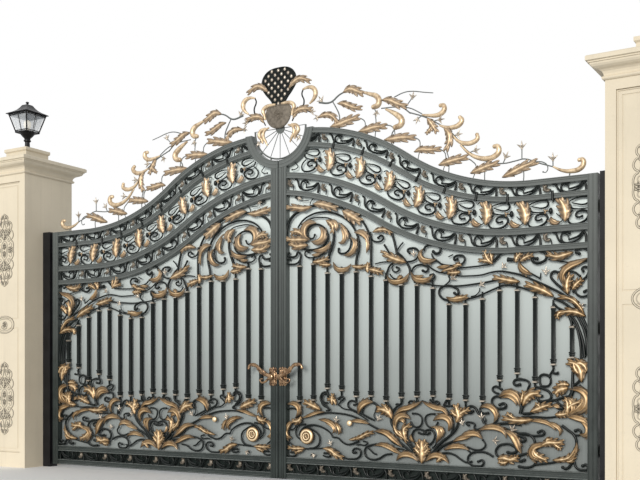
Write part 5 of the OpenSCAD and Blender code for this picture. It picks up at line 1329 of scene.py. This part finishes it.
def between(drops, start, end, count=56):
    """Points along the middle of a rail, from one place to another."""
    middle = sum(drops) / 2
    first, last = way_along(start, middle), way_along(end, middle)
    return [point_on(first + (last - first) * i / count, middle)[:2]
            for i in range(count + 1)]


def running(drawn, unit, drops, first_unit=0):
    """Repeats one unit of a running ornament from stile to stile."""
    length, height = unit
    middle = sum(drops) / 2
    first = way_along(MEET_IN, middle)
    total = way_along(STILE_IN, middle) - first
    count = round(total / length)
    laid = []
    for i in range(first_unit, count):
        for *widths, points in drawn:
            laid.append((*widths, [in_band(first + (i + px / length) * total / count,
                                           pz / height - 0.5, drops) for px, pz in points]))
    return laid


def moulded(width):
    """The section of a frame rail: two rounded edges, a hollow face and a fine groove."""
    h, front = width / 2, 1000 * size("moulding")
    return [(-h, -front), (-h, front - 3), (-h + 2, front), (-h + 6, front), (-h + 9, front - 5),
            (-2.5, front - 5), (-1.5, front - 9), (1.5, front - 9), (2.5, front - 5),
            (h - 9, front - 5), (h - 6, front), (h - 2, front), (h, front - 3), (h, -front)]


def trimmed(obj):
    """Cuts an ornament off inside the stiles and the round frame that carries the ring."""
    edit(obj)
    pick(lambda co: math.hypot(co.x, co.y - RING_Z) < 335
         or co.x < MEET_IN - 12 or co.x > STILE_IN + 12)
    bpy.ops.mesh.delete(type="VERT")
    bpy.ops.mesh.select_all(action="SELECT")
    bpy.ops.mesh.fill_holes(sides=0)
    bpy.ops.object.mode_set(mode="OBJECT")
    return obj


def clear_of_ring(x, z, margin):
    """Whether a place lies between the stiles and outside the ring's frame."""
    return MEET_IN < x < STILE_IN and math.hypot(x, z - RING_Z) > margin


def free(leaves):
    """The leaves whose whole spine lies between the stiles and clear of the cradle."""
    return [(width, spine) for width, spine in leaves
            if all(clear_of_ring(x, z, 350) for x, z in spine)]


def build_rails():
    """The four swan-necked rails and the two straight rails at the foot."""
    starts = (340, 300, MEET_IN, MEET_IN)
    rails = [swept("rail", between(drops, start, STILE_IN), moulded(drops[1] - drops[0]))
             for drops, start in zip(RAIL_EDGES, starts)]
    both_leaves(one_piece("rails", rails), 0, "moulded_rails", "frame", "swan_neck_rails")
    straight = [swept("rail", [(MEET_IN, z), (STILE_IN, z)], moulded(width))
                for z, width in ((55, 50), (192.5, 55))]
    both_leaves(one_piece("rails", straight), 0, "foot_rails", "frame", "base_rails")


def build_stile_beads():
    """Raised strips on the stiles and round the frame of the ring."""
    strip = [(-4, -2), (-4, 2), (-2, 4), (2, 4), (4, 2), (4, -2)]
    lines = [swept("strip", [(x, 34), (x, top)], strip)
             for x, top in ((2712, 2396), (2743, 2396), (2773, 2396), (9, 2740), (38, 2740),
                            (75, 2740))]
    for radius in (291, 320, 349):
        arc = [polar(radius, a) for a in range(-88, -6, 3)]
        lines.append(swept("arc", [(x, RING_Z + z) for x, z in arc], strip))
    both_leaves(one_piece("beads", lines), -30, "stile_beads", "frame")


def build_clips():
    """Short posts that clip the friezes to the second rail."""
    posts = []
    for way in (494, 799, 1099, 1374, 1634, 1904, 2154, 2499):
        foot, head = (in_band(way + way_along(MEET_IN, 80), share, (45, 115))
                      for share in (-1.3, -0.25))
        posts.append((24, 19, [foot, head]))
    both_leaves(tubes("clips", posts, steps=1), -27, "rail_clips", "bar")


def model_bar():
    """A square bar with a stepped foot and head, 1000 high between its ends."""
    start_fresh()
    bpy.ops.mesh.primitive_cube_add(size=1, location=(0, 500, 0), scale=(27, 940, 27))
    obj = settle(bpy.context.object)
    edit(obj)
    steps = ((31, 0), (31, 6), (27, 2), (27, 4), (35, 3), (35, 7), (27, 2), (20, 3),
             (15, 6), (12, 42))
    for end in (-1, 1):
        pick(lambda middle, normal: normal.y * end > 0.9, "FACE")
        width, at = 27, 500 + 470 * end
        for next_width, rise in steps:
            bpy.ops.mesh.extrude_region_move(
                TRANSFORM_OT_translate={"value": (0, end * rise, 0)})
            at += end * rise
            squeeze((next_width / width, 1, next_width / width), (0, at, 0))
            width = next_width
    bpy.ops.object.mode_set(mode="OBJECT")
    close_up(obj)
    rounding = obj.modifiers.new("Edges", "BEVEL")
    rounding.width = 1000 * size("bar_edge")
    rounding.segments = 2
    rounding.limit_method = "ANGLE"
    apply_all(obj)
    return smooth(obj, 35)


def build_bars():
    """The upright bars, each lengthened between its foot and its head, with a bright
    collar at both ends."""
    master = model_bar()
    collar = squared("collar", [(13, -7), (18.5, -5), (18.5, 2), (15, 5), (13, 8)])
    collar.rotation_euler = (-math.pi / 2, 0, 0)
    settle(collar)
    bars, collars = [], []
    for i, (low, high) in enumerate(BAR_ENDS):
        bar = again(master)
        edit(bar)
        pick(lambda co: co.y > 500)
        shift(y=high - low - 1000)
        bpy.ops.object.mode_set(mode="OBJECT")
        x = FIRST_BAR + BAR_PITCH * i
        bars.append(place(bar, x, low))
        collars += [place(again(collar), x, at) for at in (low + 12, high - 12)]
    put_away(master)
    put_away(collar)
    both_leaves(one_piece("bars", bars), 0, "upright_bars", "bar", "bars")
    both_leaves(one_piece("collars", collars), 0, "bar_collars", "silver")


def flower(petal, radius, at, petals=5, z=14):
    """A small flower of cupped petals round a raised eye."""
    parts = []
    for k in range(petals):
        part = again(petal)
        part.scale = (radius, 0.78 * radius, 0.4 * radius)
        settle(part)
        parts.append(place(part, at[0], at[1], z, turn=2 * math.pi * k / petals + 0.3))
    eye = turned("eye", [(0, 0.62 * radius), (0.16 * radius, 0.58 * radius),
                         (0.27 * radius, 0.4 * radius), (0.24 * radius, 0.1), (0, 0)], 10)
    paint_relief(eye, -radius, radius)
    parts.append(place(eye, at[0], at[1], z))
    return one_piece("flower", parts)


def buds(drawn, z=0):
    """Buds of three pointed prongs that spread from a small cup, given as their length,
    direction in degrees and place."""
    cup = turned("cup", [(0, 7), (6, 6), (9, 1), (7, -4), (0, -6)], 10)
    parts, prongs = [], []
    for length, way, (x, y) in drawn:
        for lean, share in ((-38, 0.85), (0, 1), (38, 0.85)):
            knots = [(x, y, z)]
            for reach, turn in ((0.5, 1), (1, 1.25)):
                out, up = polar(reach * share * length, way + turn * lean)
                knots.append((x + out, y + up, z + 6 * reach))
            prongs.append((8, 3, knots))
        parts.append(place(again(cup), x, y, z))
    put_away(cup)
    return one_piece("buds", [tubes("prongs", prongs, 3, swell=10)] + parts)


def build_upper_panel(leaves):
    """Scrolls and gilded leaves under the fourth rail."""
    both_leaves(tubes("scrolls", UPPER_BARS, bold=size("upper_scrolls")), -7,
                "upper_forged_scrolls", "bar", "upper_scrolls")
    growth = foliage("leaves", leaves, UPPER_LEAVES, UPPER_HORNS, 12, size("upper_leaves"))
    both_leaves(growth, 0, "upper_gilded_leaves", "gilt_leaf", "upper_leaves")


def build_lower_panel(leaves):
    """Scrolls, gilded leaves, buds and the large rose over the foot rails."""
    both_leaves(tubes("scrolls", LOWER_BARS, bold=size("lower_scrolls")), -7,
                "lower_forged_scrolls", "bar", "lower_scrolls")
    growth = foliage("leaves", leaves, LOWER_LEAVES, LOWER_HORNS, 12, size("lower_leaves"))
    rose = turned("rose", [(0, 18), (10, 17), (14, 10), (19, 10), (24, 19), (31, 20), (35, 10),
                           (40, 10), (46, 17), (56, 16), (68, 8), (70, 0), (0, 0)], 28)
    paint_relief(rose, 6, 18)
    place(rose, 285, 408, 12)
    rosette = flower(leaves[1], 24, (285, 408), 5, 26)
    dome = turned("dome", [(0, 20), (16, 17), (25, 8), (27, 0), (0, 0)], 14)
    paint_relief(dome, -4, 14)
    place(dome, 708, 532, 14)
    both_leaves(one_piece("leaves", [growth, rose, rosette, dome]), 0,
                "lower_gilded_leaves", "gilt_leaf", "lower_leaves")
    both_leaves(buds(PANEL_BUDS, 10), 0, "panel_buds", "silver")


def build_friezes(leaves):
    """Running scrolls between the top rails and in the foot."""
    bars, horns = [], []
    for drops in NARROW_FRIEZES:
        bars += running(FRIEZE_BARS, FRIEZE_UNIT, drops)
        horns += running(FRIEZE_HORNS, FRIEZE_UNIT, drops)
    both_leaves(trimmed(tubes("friezes", bars, 3, bold=size("friezes"))), -7,
                "running_friezes", "bar", "top_friezes")
    step = (STILE_IN - MEET_IN) / 8
    foot = [[(*widths, [(MEET_IN + (i + px / FRIEZE_UNIT[0]) * step, 80 + pz)
                        for px, pz in points])
             for i in range(8) for *widths, points in drawn]
            for drawn in (FRIEZE_BARS, FRIEZE_HORNS)]
    both_leaves(tubes("frieze", foot[0], 3, bold=size("foot_frieze")), -7, "foot_frieze",
                "bar", "base_frieze")
    both_leaves(foliage("leaves", leaves, [], free(horns) + foot[1], 4), 0, "frieze_leaves",
                "shield")


def build_band(leaves):
    """The acanthus band: dark scrolls with a button, gilded leaves and a flower in each
    unit."""
    def units(drawn, first_unit=-1):
        return running(drawn, BAND_UNIT, WIDE_BAND, first_unit)

    button = turned("button", [(0, 14), (10, 12), (17, 6), (19, -2), (17, -10), (0, -12)], 16)
    button.scale = (0.85, 1.35, 1)
    settle(button)
    scrolls = [trimmed(tubes("band", units(BAND_BARS), 4, bold=size("band_scrolls")))]
    scrolls += [place(again(button), x, z) for _, ((x, z),) in units([(24, [(347, 112)])])
                if clear_of_ring(x, z, 370)]
    put_away(button)
    both_leaves(one_piece("band", scrolls), -7, "band_scrolls", "bar", "acanthus_band")
    growth = [foliage("leaves", leaves, free(units(BAND_LEAVES)), free(units(BAND_HORNS)), 12,
                      size("band_leaves"))]
    growth += [flower(leaves[1], 19, (x, z), 3)
               for _, ((x, z),) in units([(15, [(308, 112)])], 0)
               if x < STILE_IN - 20 and clear_of_ring(x, z, 370)]
    both_leaves(one_piece("leaves", growth), 0, "band_gilded_leaves", "gilt_leaf")


def build_crest(leaves):
    """The growth along the top rail: dark stems, gilded hooks and leaves, silver buds."""
    both_leaves(tubes("stems", CREST_BARS, bold=size("crest_stems")), 0, "crest_stems",
                "frame", "crest")
    hooks = tubes("hooks", CREST_HOOKS, swell=20, sides=3)
    growth = foliage("leaves", leaves, CREST_FOLIAGE, [], 2, size("crest_leaves"))
    both_leaves(hooks, 0, "crest_gilded_hooks", "gilt_bar")
    both_leaves(growth, 0, "crest_gilded_leaves", "gilt_leaf")
    both_leaves(buds(CREST_BUDS), 0, "crest_buds", "silver")


def doubled(obj):
    """Joins a drawn half with its mirror image."""
    return one_piece(obj.name, [obj, mirrored(obj)])


def medallion(obj, y, name, finish, *nodes):
    """Sets a part of the crest's medallion over the middle of the ring."""
    obj.location.y = RING_Z
    dress(hang(settle(obj), y), name, finish, "left_leaf", *nodes)


def build_medallion(leaves):
    """Ring with its fan, shell of crossed ribs and pearls, shield, wings and hooks."""
    ring = [polar(265.5, a) for a in range(180, 361, 10)]
    wires = [(7, 6, [polar(30, a), polar(262, a)])
             for a in (180 + 22.5 * k for k in range(9))]
    feet = [(15, 15, [polar(268, a), polar(286, a)]) for a in (200, 225, 250)]
    hub = turned("hub", [(0, 16), (14, 14), (18, 10), (26, 10), (30, 6), (44, 4), (45, -8),
                         (0, -8)])
    medallion(one_piece("ring", [tubes("ring", [(15, 15, ring)], 4, 1.3),
                                 tubes("wires", wires + feet, 1), hub]),
              0, "ring_with_fan", "frame", "crest_ring")
    outline = SHELL_HALF + [(-x, z) for x, z in SHELL_HALF[-2::-1]]
    plate = slab("plate", outline, 12, 5)
    # The crossed ribs make a lozenge mesh that starts at the shell's foot.
    mesh_x, mesh_z, foot = 34, 36, 212
    ribs = []
    for k in range(-8, 7, 2):
        for side in (-1, 1):
            rib = [(side * mesh_x * (k + n), foot + mesh_z * n, 12) for n in range(10)]
            inside = [p for p in rib if in_shell(p, 0)]
            if len(inside) > 1:
                ribs.append((7, 7, inside))
    rim = place(tubes("rim", [(22, 17, SHELL_HALF)]), z=8)
    medallion(one_piece("shell", [plate, tubes("ribs", ribs, 1), doubled(rim)]), -12,
              "pearled_shell", "bar", "crest_shell")
    pearl = turned("pearl", [(0, 15), (8, 13), (13, 8), (14, 1), (12, -4), (0, -6)], 10)
    pearl.scale = (0.95, 1.15, 1)
    settle(pearl)
    pearls = [place(again(pearl), mesh_x * k, foot + mesh_z * i, 12)
              for i in range(10) for k in range(-5, 6)
              if (i + k) % 2 == 0 and in_shell((mesh_x * k, foot + mesh_z * i), 16)]
    put_away(pearl)
    medallion(one_piece("pearls", pearls), -12, "shell_pearls", "silver")
    outline = SHIELD_HALF + [(-x, z) for x, z in SHIELD_HALF[-2:0:-1]]
    plate = slab("shield", [(0.97 * x, z) for x, z in outline], 14, 5, 4)
    edge = [(0.95 * x, 4 + 0.96 * z) for x, z in outline + outline[:1]]
    parts = [plate, place(tubes("edge", [(9, 9, edge)]), z=17),
             flower(leaves[1], 27, (0, 118), 6, 17)]
    for r in (34, 44):
        ring = turned("ring", [(r - 3, 17), (r - 2, 21), (r + 2, 21), (r + 3, 17)], 28)
        parts.append(place(ring, 0, 118))
    medallion(one_piece("shield", parts), -14, "crest_shield_plate", "shield", "crest_shield")
    hooks = [tubes("hooks", MEDAL_BARS[:1], swell=30, sides=3),
             tubes("hooks", MEDAL_BARS[1:], swell=18, sides=3)]
    medallion(doubled(one_piece("hooks", hooks)), -26, "crest_hooks", "gilt_bar",
              "crest_leaves")
    medallion(doubled(tubes("stems", MEDAL_STEMS, bold=1.2)), -22, "crest_hook_stems", "bar")
    wings = foliage("wings", leaves, MEDAL_FOLIAGE, [], 0, 1.15)
    medallion(doubled(wings), -24, "crest_wings", "gilt_leaf")
    medallion(doubled(buds(MEDAL_BUDS)), -24, "medallion_buds", "silver")


def in_shell(point, margin):
    """Whether a place is inside the shell's rim by a margin."""
    x, z = abs(point[0]), point[1]
    for (xa, za), (xb, zb) in zip(SHELL_HALF, SHELL_HALF[1:]):
        if za <= z <= zb:
            return x < xa + (xb - xa) * (z - za) / (zb - za) - margin
    return False


def build_handles(leaves):
    """Cast plates on the meeting stiles, and levers that rise to a curled tip."""
    plate = [(0, -78), (14, -66), (26, -76), (40, -60), (36, -40), (46, -22), (40, 0),
             (46, 24), (36, 44), (42, 64), (26, 80), (12, 68), (0, 86)]
    outline = plate + [(-0.8 * x, z) for x, z in plate[-2:0:-1]]
    parts = [slab("plate", outline, 10, 3),
             slab("field", [(0.68 * x, 0.72 * z) for x, z in outline], 22, 6),
             turned("rose", [(0, 34), (12, 33), (15, 36), (21, 35), (24, 30), (26, 26),
                             (30, 24), (30, 8), (0, 8)])]
    parts += [place(turned("stud", [(0, 22), (7, 20), (11, 14), (12, 8), (0, 8)], 12), x, z)
              for x, z in ((26, 58), (-20, 58), (26, -56), (-20, -56))]
    both_leaves(place(one_piece("plate", parts), 48, HANDLE_Z), -30, "cast_handle_plate",
                "bronze", "handle_plate")
    arm = tubes("arm", [(38, 22, [(-4, 0), (34, 16), (78, 34), (118, 66), (152, 98),
                                  (192, 110), (226, 98), (236, 76)]),
                        (24, 10, [(14, -6), (44, -34), (80, -50), (108, -40), (108, -20),
                                  (92, -18)]),
                        (18, 9, [(50, 20), (78, 52), (108, 62), (122, 48), (110, 38)])],
                deep=0.9, sides=3)
    knob = turned("knob", [(0, 16), (8, 15), (14, 9), (22, 7), (24, 0), (21, -8), (9, -12),
                           (9, -44), (0, -44)], 20)
    leaf = lay_leaf(leaves[1], 48, [(14, 6), (64, 30), (124, 72)], 20, 4)
    tip = lay_leaf(leaves[2], 34, [(120, 70), (168, 106), (222, 100)], 18, 4)
    lever = place(one_piece("lever", [arm, knob, leaf, tip]), 43.5, HANDLE_Z)
    both_leaves(lever, -84, "curled_lever", "bronze", "lever", "handle")


RELIEF_BARS = [
    (13, 13, [(0, 368), (30, 352), (52, 330), (46, 302), (72, 290), (104, 270), (110, 232),
              (96, 206), (118, 186), (132, 150), (118, 118), (98, 104), (122, 80), (134, 40),
              (130, 0)]),
    (9, 7, [(0, 96), (24, 84), (42, 52), (46, 0)]),
    (7, 7, [(0, 74), (16, 62), (27, 36), (30, 0)]),
    (12, 7, [(14, 110), (44, 136), (76, 134), (84, 104), (62, 88), (48, 104), (60, 114)]),
    (12, 7, [(12, 300), (14, 250), (40, 214), (72, 222), (76, 252), (52, 262), (46, 244)]),
    (9, 6, [(64, 14), (96, 30), (102, 62), (80, 72), (70, 54)]),
    (8, 6, [(0, 330), (0, 262)])
]
RELIEF_FOLIAGE = [
    (46, [(0, 104), (4, 150), (0, 205)]), (38, [(26, 152), (56, 170), (84, 196)]),
    (36, [(30, 292), (52, 282), (80, 262)]), (34, [(58, 6), (82, 14), (116, 10)]),
    (34, [(12, 214), (30, 186), (60, 160)]), (30, [(18, 318), (26, 336), (20, 352)]),
    (24, [(0, 6), (10, 34), (0, 64)])
]


def carved_panel(leaves):
    """A carved cartouche, 280 wide and 740 high, mirrored from one drawn quarter."""
    bars = tubes("relief", RELIEF_BARS, 4, 0.8, bold=1.2)
    growth = foliage("growth", leaves, RELIEF_FOLIAGE, [], -3, 1.3)
    quarter = one_piece("relief", [bars, growth])
    half = doubled(quarter)
    return one_piece("relief", [half, mirrored(half, 1)])


def in_panel(obj, side, face=-1):
    """Stands a drawing in the sunk panel of a pier's front, or of its back."""
    low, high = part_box(f"{side}_pier")
    return to_place(obj, ((low.x + high.x) / 2, -face * (low.y + PANEL_SINK / 1000), 0),
                    (math.pi / 2, 0, 0 if face < 0 else math.pi))


def build_pier_carving(leaves):
    """Carved cartouches and an oval medallion in the sunk face of each pier."""
    panel = carved_panel(leaves)
    oval = [polar(1, 15 * k) for k in range(25)]
    rings = tubes("rings", [(16, 16, [(140 * x, 84 * y) for x, y in oval]),
                            (8, 8, [(112 * x, 62 * y) for x, y in oval]),
                            (12, 8, volute(52, 12, 200, 480))], 2, 0.8)
    emblem = one_piece("emblem", [rings, flower(leaves[1], 30, (0, 0), 6, -2)])
    whole = one_piece("carving", [place(again(panel), y=2220), place(again(panel), y=700),
                                  place(again(emblem), y=1455)])
    for side in SIDES:
        dress(in_panel(again(whole), side), f"{side}_pier_carving", "carving", "root")
    for master in (panel, emblem, whole):
        put_away(master)


def build_pier_mouldings():
    """A rounded moulding round each sunk panel."""
    bead = [(-7, -3), (-7, 3), (-3, 8), (3, 8), (7, 3), (7, -3)]
    x, low, high = 238, 158, 2897
    path = [(-x, low), (x, low), (x, high), (-x, high), (-x, low)]
    for side in SIDES:
        parts = [in_panel(swept("bead", path, bead), side, face) for face in (-1, 1)]
        dress(one_piece("beads", parts), f"{side}_panel_beads", "stone", "root")


def build_lanterns():
    """Square lanterns: turned post, tapering frame, thin bars, curved roof and lamp."""
    for side in SIDES:
        low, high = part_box(f"{side}_lantern_frame")
        foot = ((low.x + high.x) / 2, (low.y + high.y) / 2, LANTERN_FOOT)
        post = turned("post", [(0, 0), (60, 0), (60, 9), (50, 16), (33, 25), (27, 40),
                               (25, 92), (31, 98), (38, 104), (38, 112), (30, 120),
                               (34, 136), (52, 152), (72, 176), (78, 186), (0, 186)])
        plinth = squared("foot", [(84, 186), (89, 190), (89, 197), (84, 200)])
        eaves = squared("eaves", [(132, 375), (140, 378), (154, 381), (155, 387), (146, 391),
                                  (136, 397), (104, 412), (76, 432), (54, 458), (42, 478),
                                  (36, 484), (30, 485)])
        finial = turned("finial", [(0, 484), (22, 484), (24, 489), (12, 494), (10, 500),
                                   (17, 506), (18, 513), (12, 519), (5, 521), (0, 523)], 16)
        bars = []
        for a, b in ((-1, -1), (1, -1), (1, 1), (-1, 1)):
            bars.append((15, 15, [(82 * a, 82 * b, 196), (132 * a, 132 * b, 378)]))
            across = (a, 0) if a == b else (0, b)
            bars.append((7, 7, [(80 * across[0], 80 * across[1], 196),
                                (130 * across[0], 130 * across[1], 378)]))
            bars.append((9, 9, [(85 * a, 85 * b, 210), (-85 * b, 85 * a, 210)]))
            bars.append((9, 9, [(128 * a, 128 * b, 366), (-128 * b, 128 * a, 366)]))
        cage = tubes("bars", bars, 1, sides=1)
        ironwork = one_piece("lantern", [post, plinth, eaves, finial, cage])
        dress(to_place(ironwork, foot), f"{side}_lantern_ironwork", "lantern", "root",
              f"{side}_lantern_frame")
        lamp = turned("lamp", [(0, 204), (20, 204), (22, 228), (34, 250), (40, 280),
                               (36, 306), (20, 322), (0, 327)], 20)
        dress(to_place(lamp, foot), f"{side}_lamp", "lamp", "root")


def dress_cad():
    """Finishes the CAD nodes that stay in sight."""
    kept = {"pier": "stone", "pier_cap": "stone", "hinge_post": "lantern", "hinge_stile": "frame",
            "meeting_stile": "frame", "cradle": "frame", "backing_sheet": "sheet",
            "lantern_glass": "pane"}
    for side in SIDES:
        for node, finish in kept.items():
            obj = frame["nodes"][f"{side}_{node}"]
            obj.data.materials.clear()
            obj.data.materials.append(finish_of(finish))


def build_stage():
    """Pale floor, white backdrop, soft light from the front, and the camera."""
    start_fresh()
    bpy.ops.mesh.primitive_plane_add(size=60, location=(3.2, 4, 0))
    floor = settle(bpy.context.object)
    floor.name = "pale_floor"
    floor.data.materials.append(floor_finish())

    world = bpy.data.worlds.new("pale_studio")
    bpy.context.scene.world = world
    world.use_nodes = True
    tree = world.node_tree
    light = tree.nodes["Background"]
    light.inputs["Color"].default_value = (0.93, 0.96, 1.0, 1)
    light.inputs["Strength"].default_value = 0.55
    shown = tree.nodes.new("ShaderNodeBackground")
    shown.inputs["Color"].default_value = (1, 1, 1, 1)
    shown.inputs["Strength"].default_value = 1.0
    path = tree.nodes.new("ShaderNodeLightPath")
    seen = path.outputs["Is Camera Ray"]
    for output in ("Is Glossy Ray", "Is Transmission Ray"):
        either = tree.nodes.new("ShaderNodeMath")
        either.operation = "MAXIMUM"
        tree.links.new(seen, either.inputs[0])
        tree.links.new(path.outputs[output], either.inputs[1])
        seen = either.outputs[0]
    choice = tree.nodes.new("ShaderNodeMixShader")
    tree.links.new(seen, choice.inputs[0])
    tree.links.new(light.outputs[0], choice.inputs[1])
    tree.links.new(shown.outputs[0], choice.inputs[2])
    tree.links.new(choice.outputs[0], tree.nodes["World Output"].inputs["Surface"])

    bpy.ops.object.light_add(type="SUN", location=(-6, -8, 9))
    key = bpy.context.object
    key.name = "key_light"
    key.rotation_euler = Vector((0.21, -0.97, 0.22)).to_track_quat("Z", "Y").to_euler()
    key.data.energy = 2.5
    key.data.angle = math.radians(22)
    key.data.color = (1.0, 0.97, 0.91)

    bpy.ops.object.camera_add(location=(7.874, -7.023, 0.919))
    camera = bpy.context.object
    camera.name = "photo_camera"
    camera.rotation_euler = Vector((-0.519, 0.855, 0)).to_track_quat("-Z", "Y").to_euler()
    camera.data.sensor_width = 36
    camera.data.lens = 53.8
    camera.data.shift_y = 0.214
    bpy.context.scene.camera = camera
    bpy.context.scene.view_settings.view_transform = "Standard"


def with_leaves(*builders):
    """Models the wide leaf, the slim leaf and the sheath, lays them and takes them out."""
    leaves = model_leaf("wide_leaf", 4), model_leaf("slim_leaf", 3), model_sheath("sheath")
    for build in builders:
        build(leaves)
    for leaf in leaves:
        put_away(leaf)


def colour_of(name, description, default):
    """A colour that the panel shows."""
    return bpy.props.FloatVectorProperty(name=name, description=description,
                                         default=default, subtype="COLOR", size=3,
                                         min=0, max=1)


def length_of(name, description, default):
    """A length that the panel shows."""
    return bpy.props.FloatProperty(name=name, description=description, default=default,
                                   unit="LENGTH", precision=4, min=0.001, max=0.1)


def boldness_of(name, description, default):
    """How much bolder than its drawing an ornament is made."""
    return bpy.props.FloatProperty(name=name, description=description, default=default,
                                   subtype="FACTOR", min=0.5, max=2)


class GateSizes(bpy.types.PropertyGroup):
    """Sizes of the gate's ornament."""

    moulding: length_of("Rail moulding", "Its depth on each side of the rail", 0.029)
    bar_edge: length_of("Bar edges", "Rounding of the upright bars' edges", 0.0022)
    leaf_rise: length_of("Leaf rise", "How far the widest leaves stand out", 0.026)
    horn_rise: length_of("Horn rise", "How far the widest horns stand out", 0.022)
    upper_scrolls: boldness_of("Upper scrolls", "Scrolls under the rails", 1.08)
    lower_scrolls: boldness_of("Lower scrolls", "Scrolls over the foot rails", 1.12)
    friezes: boldness_of("Friezes", "Scrolls between the top rails", 1.25)
    foot_frieze: boldness_of("Foot frieze", "Scrolls between the foot rails", 1.3)
    band_scrolls: boldness_of("Band scrolls", "Scrolls of the acanthus band", 1.2)
    crest_stems: boldness_of("Crest stems", "Stems on the top rail", 1.25)
    upper_leaves: boldness_of("Upper leaves", "Leaves under the rails", 1.2)
    lower_leaves: boldness_of("Lower leaves", "Leaves over the foot rails", 1.1)
    band_leaves: boldness_of("Band leaves", "Leaves of the acanthus band", 1.35)
    crest_leaves: boldness_of("Crest leaves", "Leaves on the top rail", 1.38)


class GateColours(bpy.types.PropertyGroup):
    """Colours of the gate's finishes."""

    stone: colour_of("Stone paint", "Painted render of the piers", (0.66, 0.585, 0.455))
    frame: colour_of("Frame paint", "Paint on the stiles and rails", (0.015, 0.022, 0.020))
    # Dust with a painted sky sheen on what faces upwards.
    dust: colour_of("Dust", "Dust on what faces upwards", (0.30, 0.32, 0.31))
    bar: colour_of("Bar paint", "Paint on bars and scrolls", (0.0035, 0.006, 0.0055))
    gold: colour_of("Gold", "Gold leaf on the slopes of the leaves", (0.29, 0.165, 0.06))
    # Bright gold of random wear, and painted highlight on the ridges.
    gold_highlight_and_wear: colour_of("Bright gold", "Gold leaf on ridges", (0.97, 0.77, 0.50))
    # Brown of random wear, and painted shade in the hollows.
    gold_shade_and_wear: colour_of("Gold in hollows", "Brown of the hollows", (0.03, 0.016, 0.008))
    sheet: colour_of("Sheet", "Sheet behind the ornament", (0.665, 0.73, 0.72))
    bronze: colour_of("Handle bronze", "Plates and levers", (0.40, 0.26, 0.15))
    glass: colour_of("Lantern glass", "Panes of the lanterns", (0.72, 0.76, 0.8))


class GATE_OT_stage(bpy.types.Operator):
    """Lay the pale floor and set the light and the camera"""

    bl_idname = "gate.stage"
    bl_label = "Set the Stage"

    def execute(self, context):
        build_stage()
        return {"FINISHED"}


class GATE_OT_finish_solids(bpy.types.Operator):
    """Give the solids of the frame their paint, stone, sheet and glass"""

    bl_idname = "gate.finish_solids"
    bl_label = "Finish the Solids"

    def execute(self, context):
        dress_cad()
        return {"FINISHED"}


class GATE_OT_rails(bpy.types.Operator):
    """Run the moulded rails, the stiles' beads and the clips"""

    bl_idname = "gate.rails"
    bl_label = "Run the Rails"

    def execute(self, context):
        build_rails()
        build_stile_beads()
        build_clips()
        return {"FINISHED"}


class GATE_OT_bars(bpy.types.Operator):
    """Forge the upright bars with their stepped feet and heads"""

    bl_idname = "gate.bars"
    bl_label = "Forge the Bars"

    def execute(self, context):
        build_bars()
        return {"FINISHED"}


class GATE_OT_panels(bpy.types.Operator):
    """Fill the leaves with scrolls, gilded foliage, friezes and the acanthus band"""

    bl_idname = "gate.panels"
    bl_label = "Fill the Leaves"

    def execute(self, context):
        with_leaves(build_upper_panel, build_lower_panel, build_friezes, build_band)
        return {"FINISHED"}


class GATE_OT_crest(bpy.types.Operator):
    """Grow the crest along the top rails and set its medallion on the ring"""

    bl_idname = "gate.crest"
    bl_label = "Set the Crest"

    def execute(self, context):
        with_leaves(build_crest, build_medallion)
        return {"FINISHED"}


class GATE_OT_handles(bpy.types.Operator):
    """Cast the handle plates and levers"""

    bl_idname = "gate.handles"
    bl_label = "Cast the Handles"

    def execute(self, context):
        with_leaves(build_handles)
        return {"FINISHED"}


class GATE_OT_piers(bpy.types.Operator):
    """Carve the sunk panels of the piers"""

    bl_idname = "gate.piers"
    bl_label = "Carve the Piers"

    def execute(self, context):
        with_leaves(build_pier_carving)
        build_pier_mouldings()
        return {"FINISHED"}


class GATE_OT_lanterns(bpy.types.Operator):
    """Build the lanterns' ironwork and lamps"""

    bl_idname = "gate.lanterns"
    bl_label = "Build the Lanterns"

    def execute(self, context):
        build_lanterns()
        return {"FINISHED"}


STEPS = (GATE_OT_stage, GATE_OT_finish_solids, GATE_OT_rails, GATE_OT_bars, GATE_OT_panels,
         GATE_OT_crest, GATE_OT_handles, GATE_OT_piers, GATE_OT_lanterns)


class GATE_PT_dresser(bpy.types.Panel):
    """Lists the sizes, the colours and the steps of the work"""

    bl_idname = "GATE_PT_dresser"
    bl_label = "Driveway Gate"
    bl_space_type = "VIEW_3D"
    bl_region_type = "UI"
    bl_category = "Gate"

    def draw(self, context):
        for name in GateSizes.__annotations__:
            self.layout.prop(context.scene.gate_sizes, name)
        for name in GateColours.__annotations__:
            self.layout.prop(context.scene.gate_colours, name)
        for step in STEPS:
            self.layout.operator(step.bl_idname)


CLASSES = (GateSizes, GateColours, *STEPS, GATE_PT_dresser)


def register():
    for cls in CLASSES:
        bpy.utils.register_class(cls)
    bpy.types.Scene.gate_sizes = bpy.props.PointerProperty(type=GateSizes)
    bpy.types.Scene.gate_colours = bpy.props.PointerProperty(type=GateColours)


def unregister():
    del bpy.types.Scene.gate_sizes
    del bpy.types.Scene.gate_colours
    for cls in reversed(CLASSES):
        bpy.utils.unregister_class(cls)


def main():
    """Registers the panel and does every step of the work."""
    register()
    for step in STEPS:
        group, name = step.bl_idname.split(".")
        getattr(getattr(bpy.ops, group), name)()


if __name__ == "__main__":
    main()
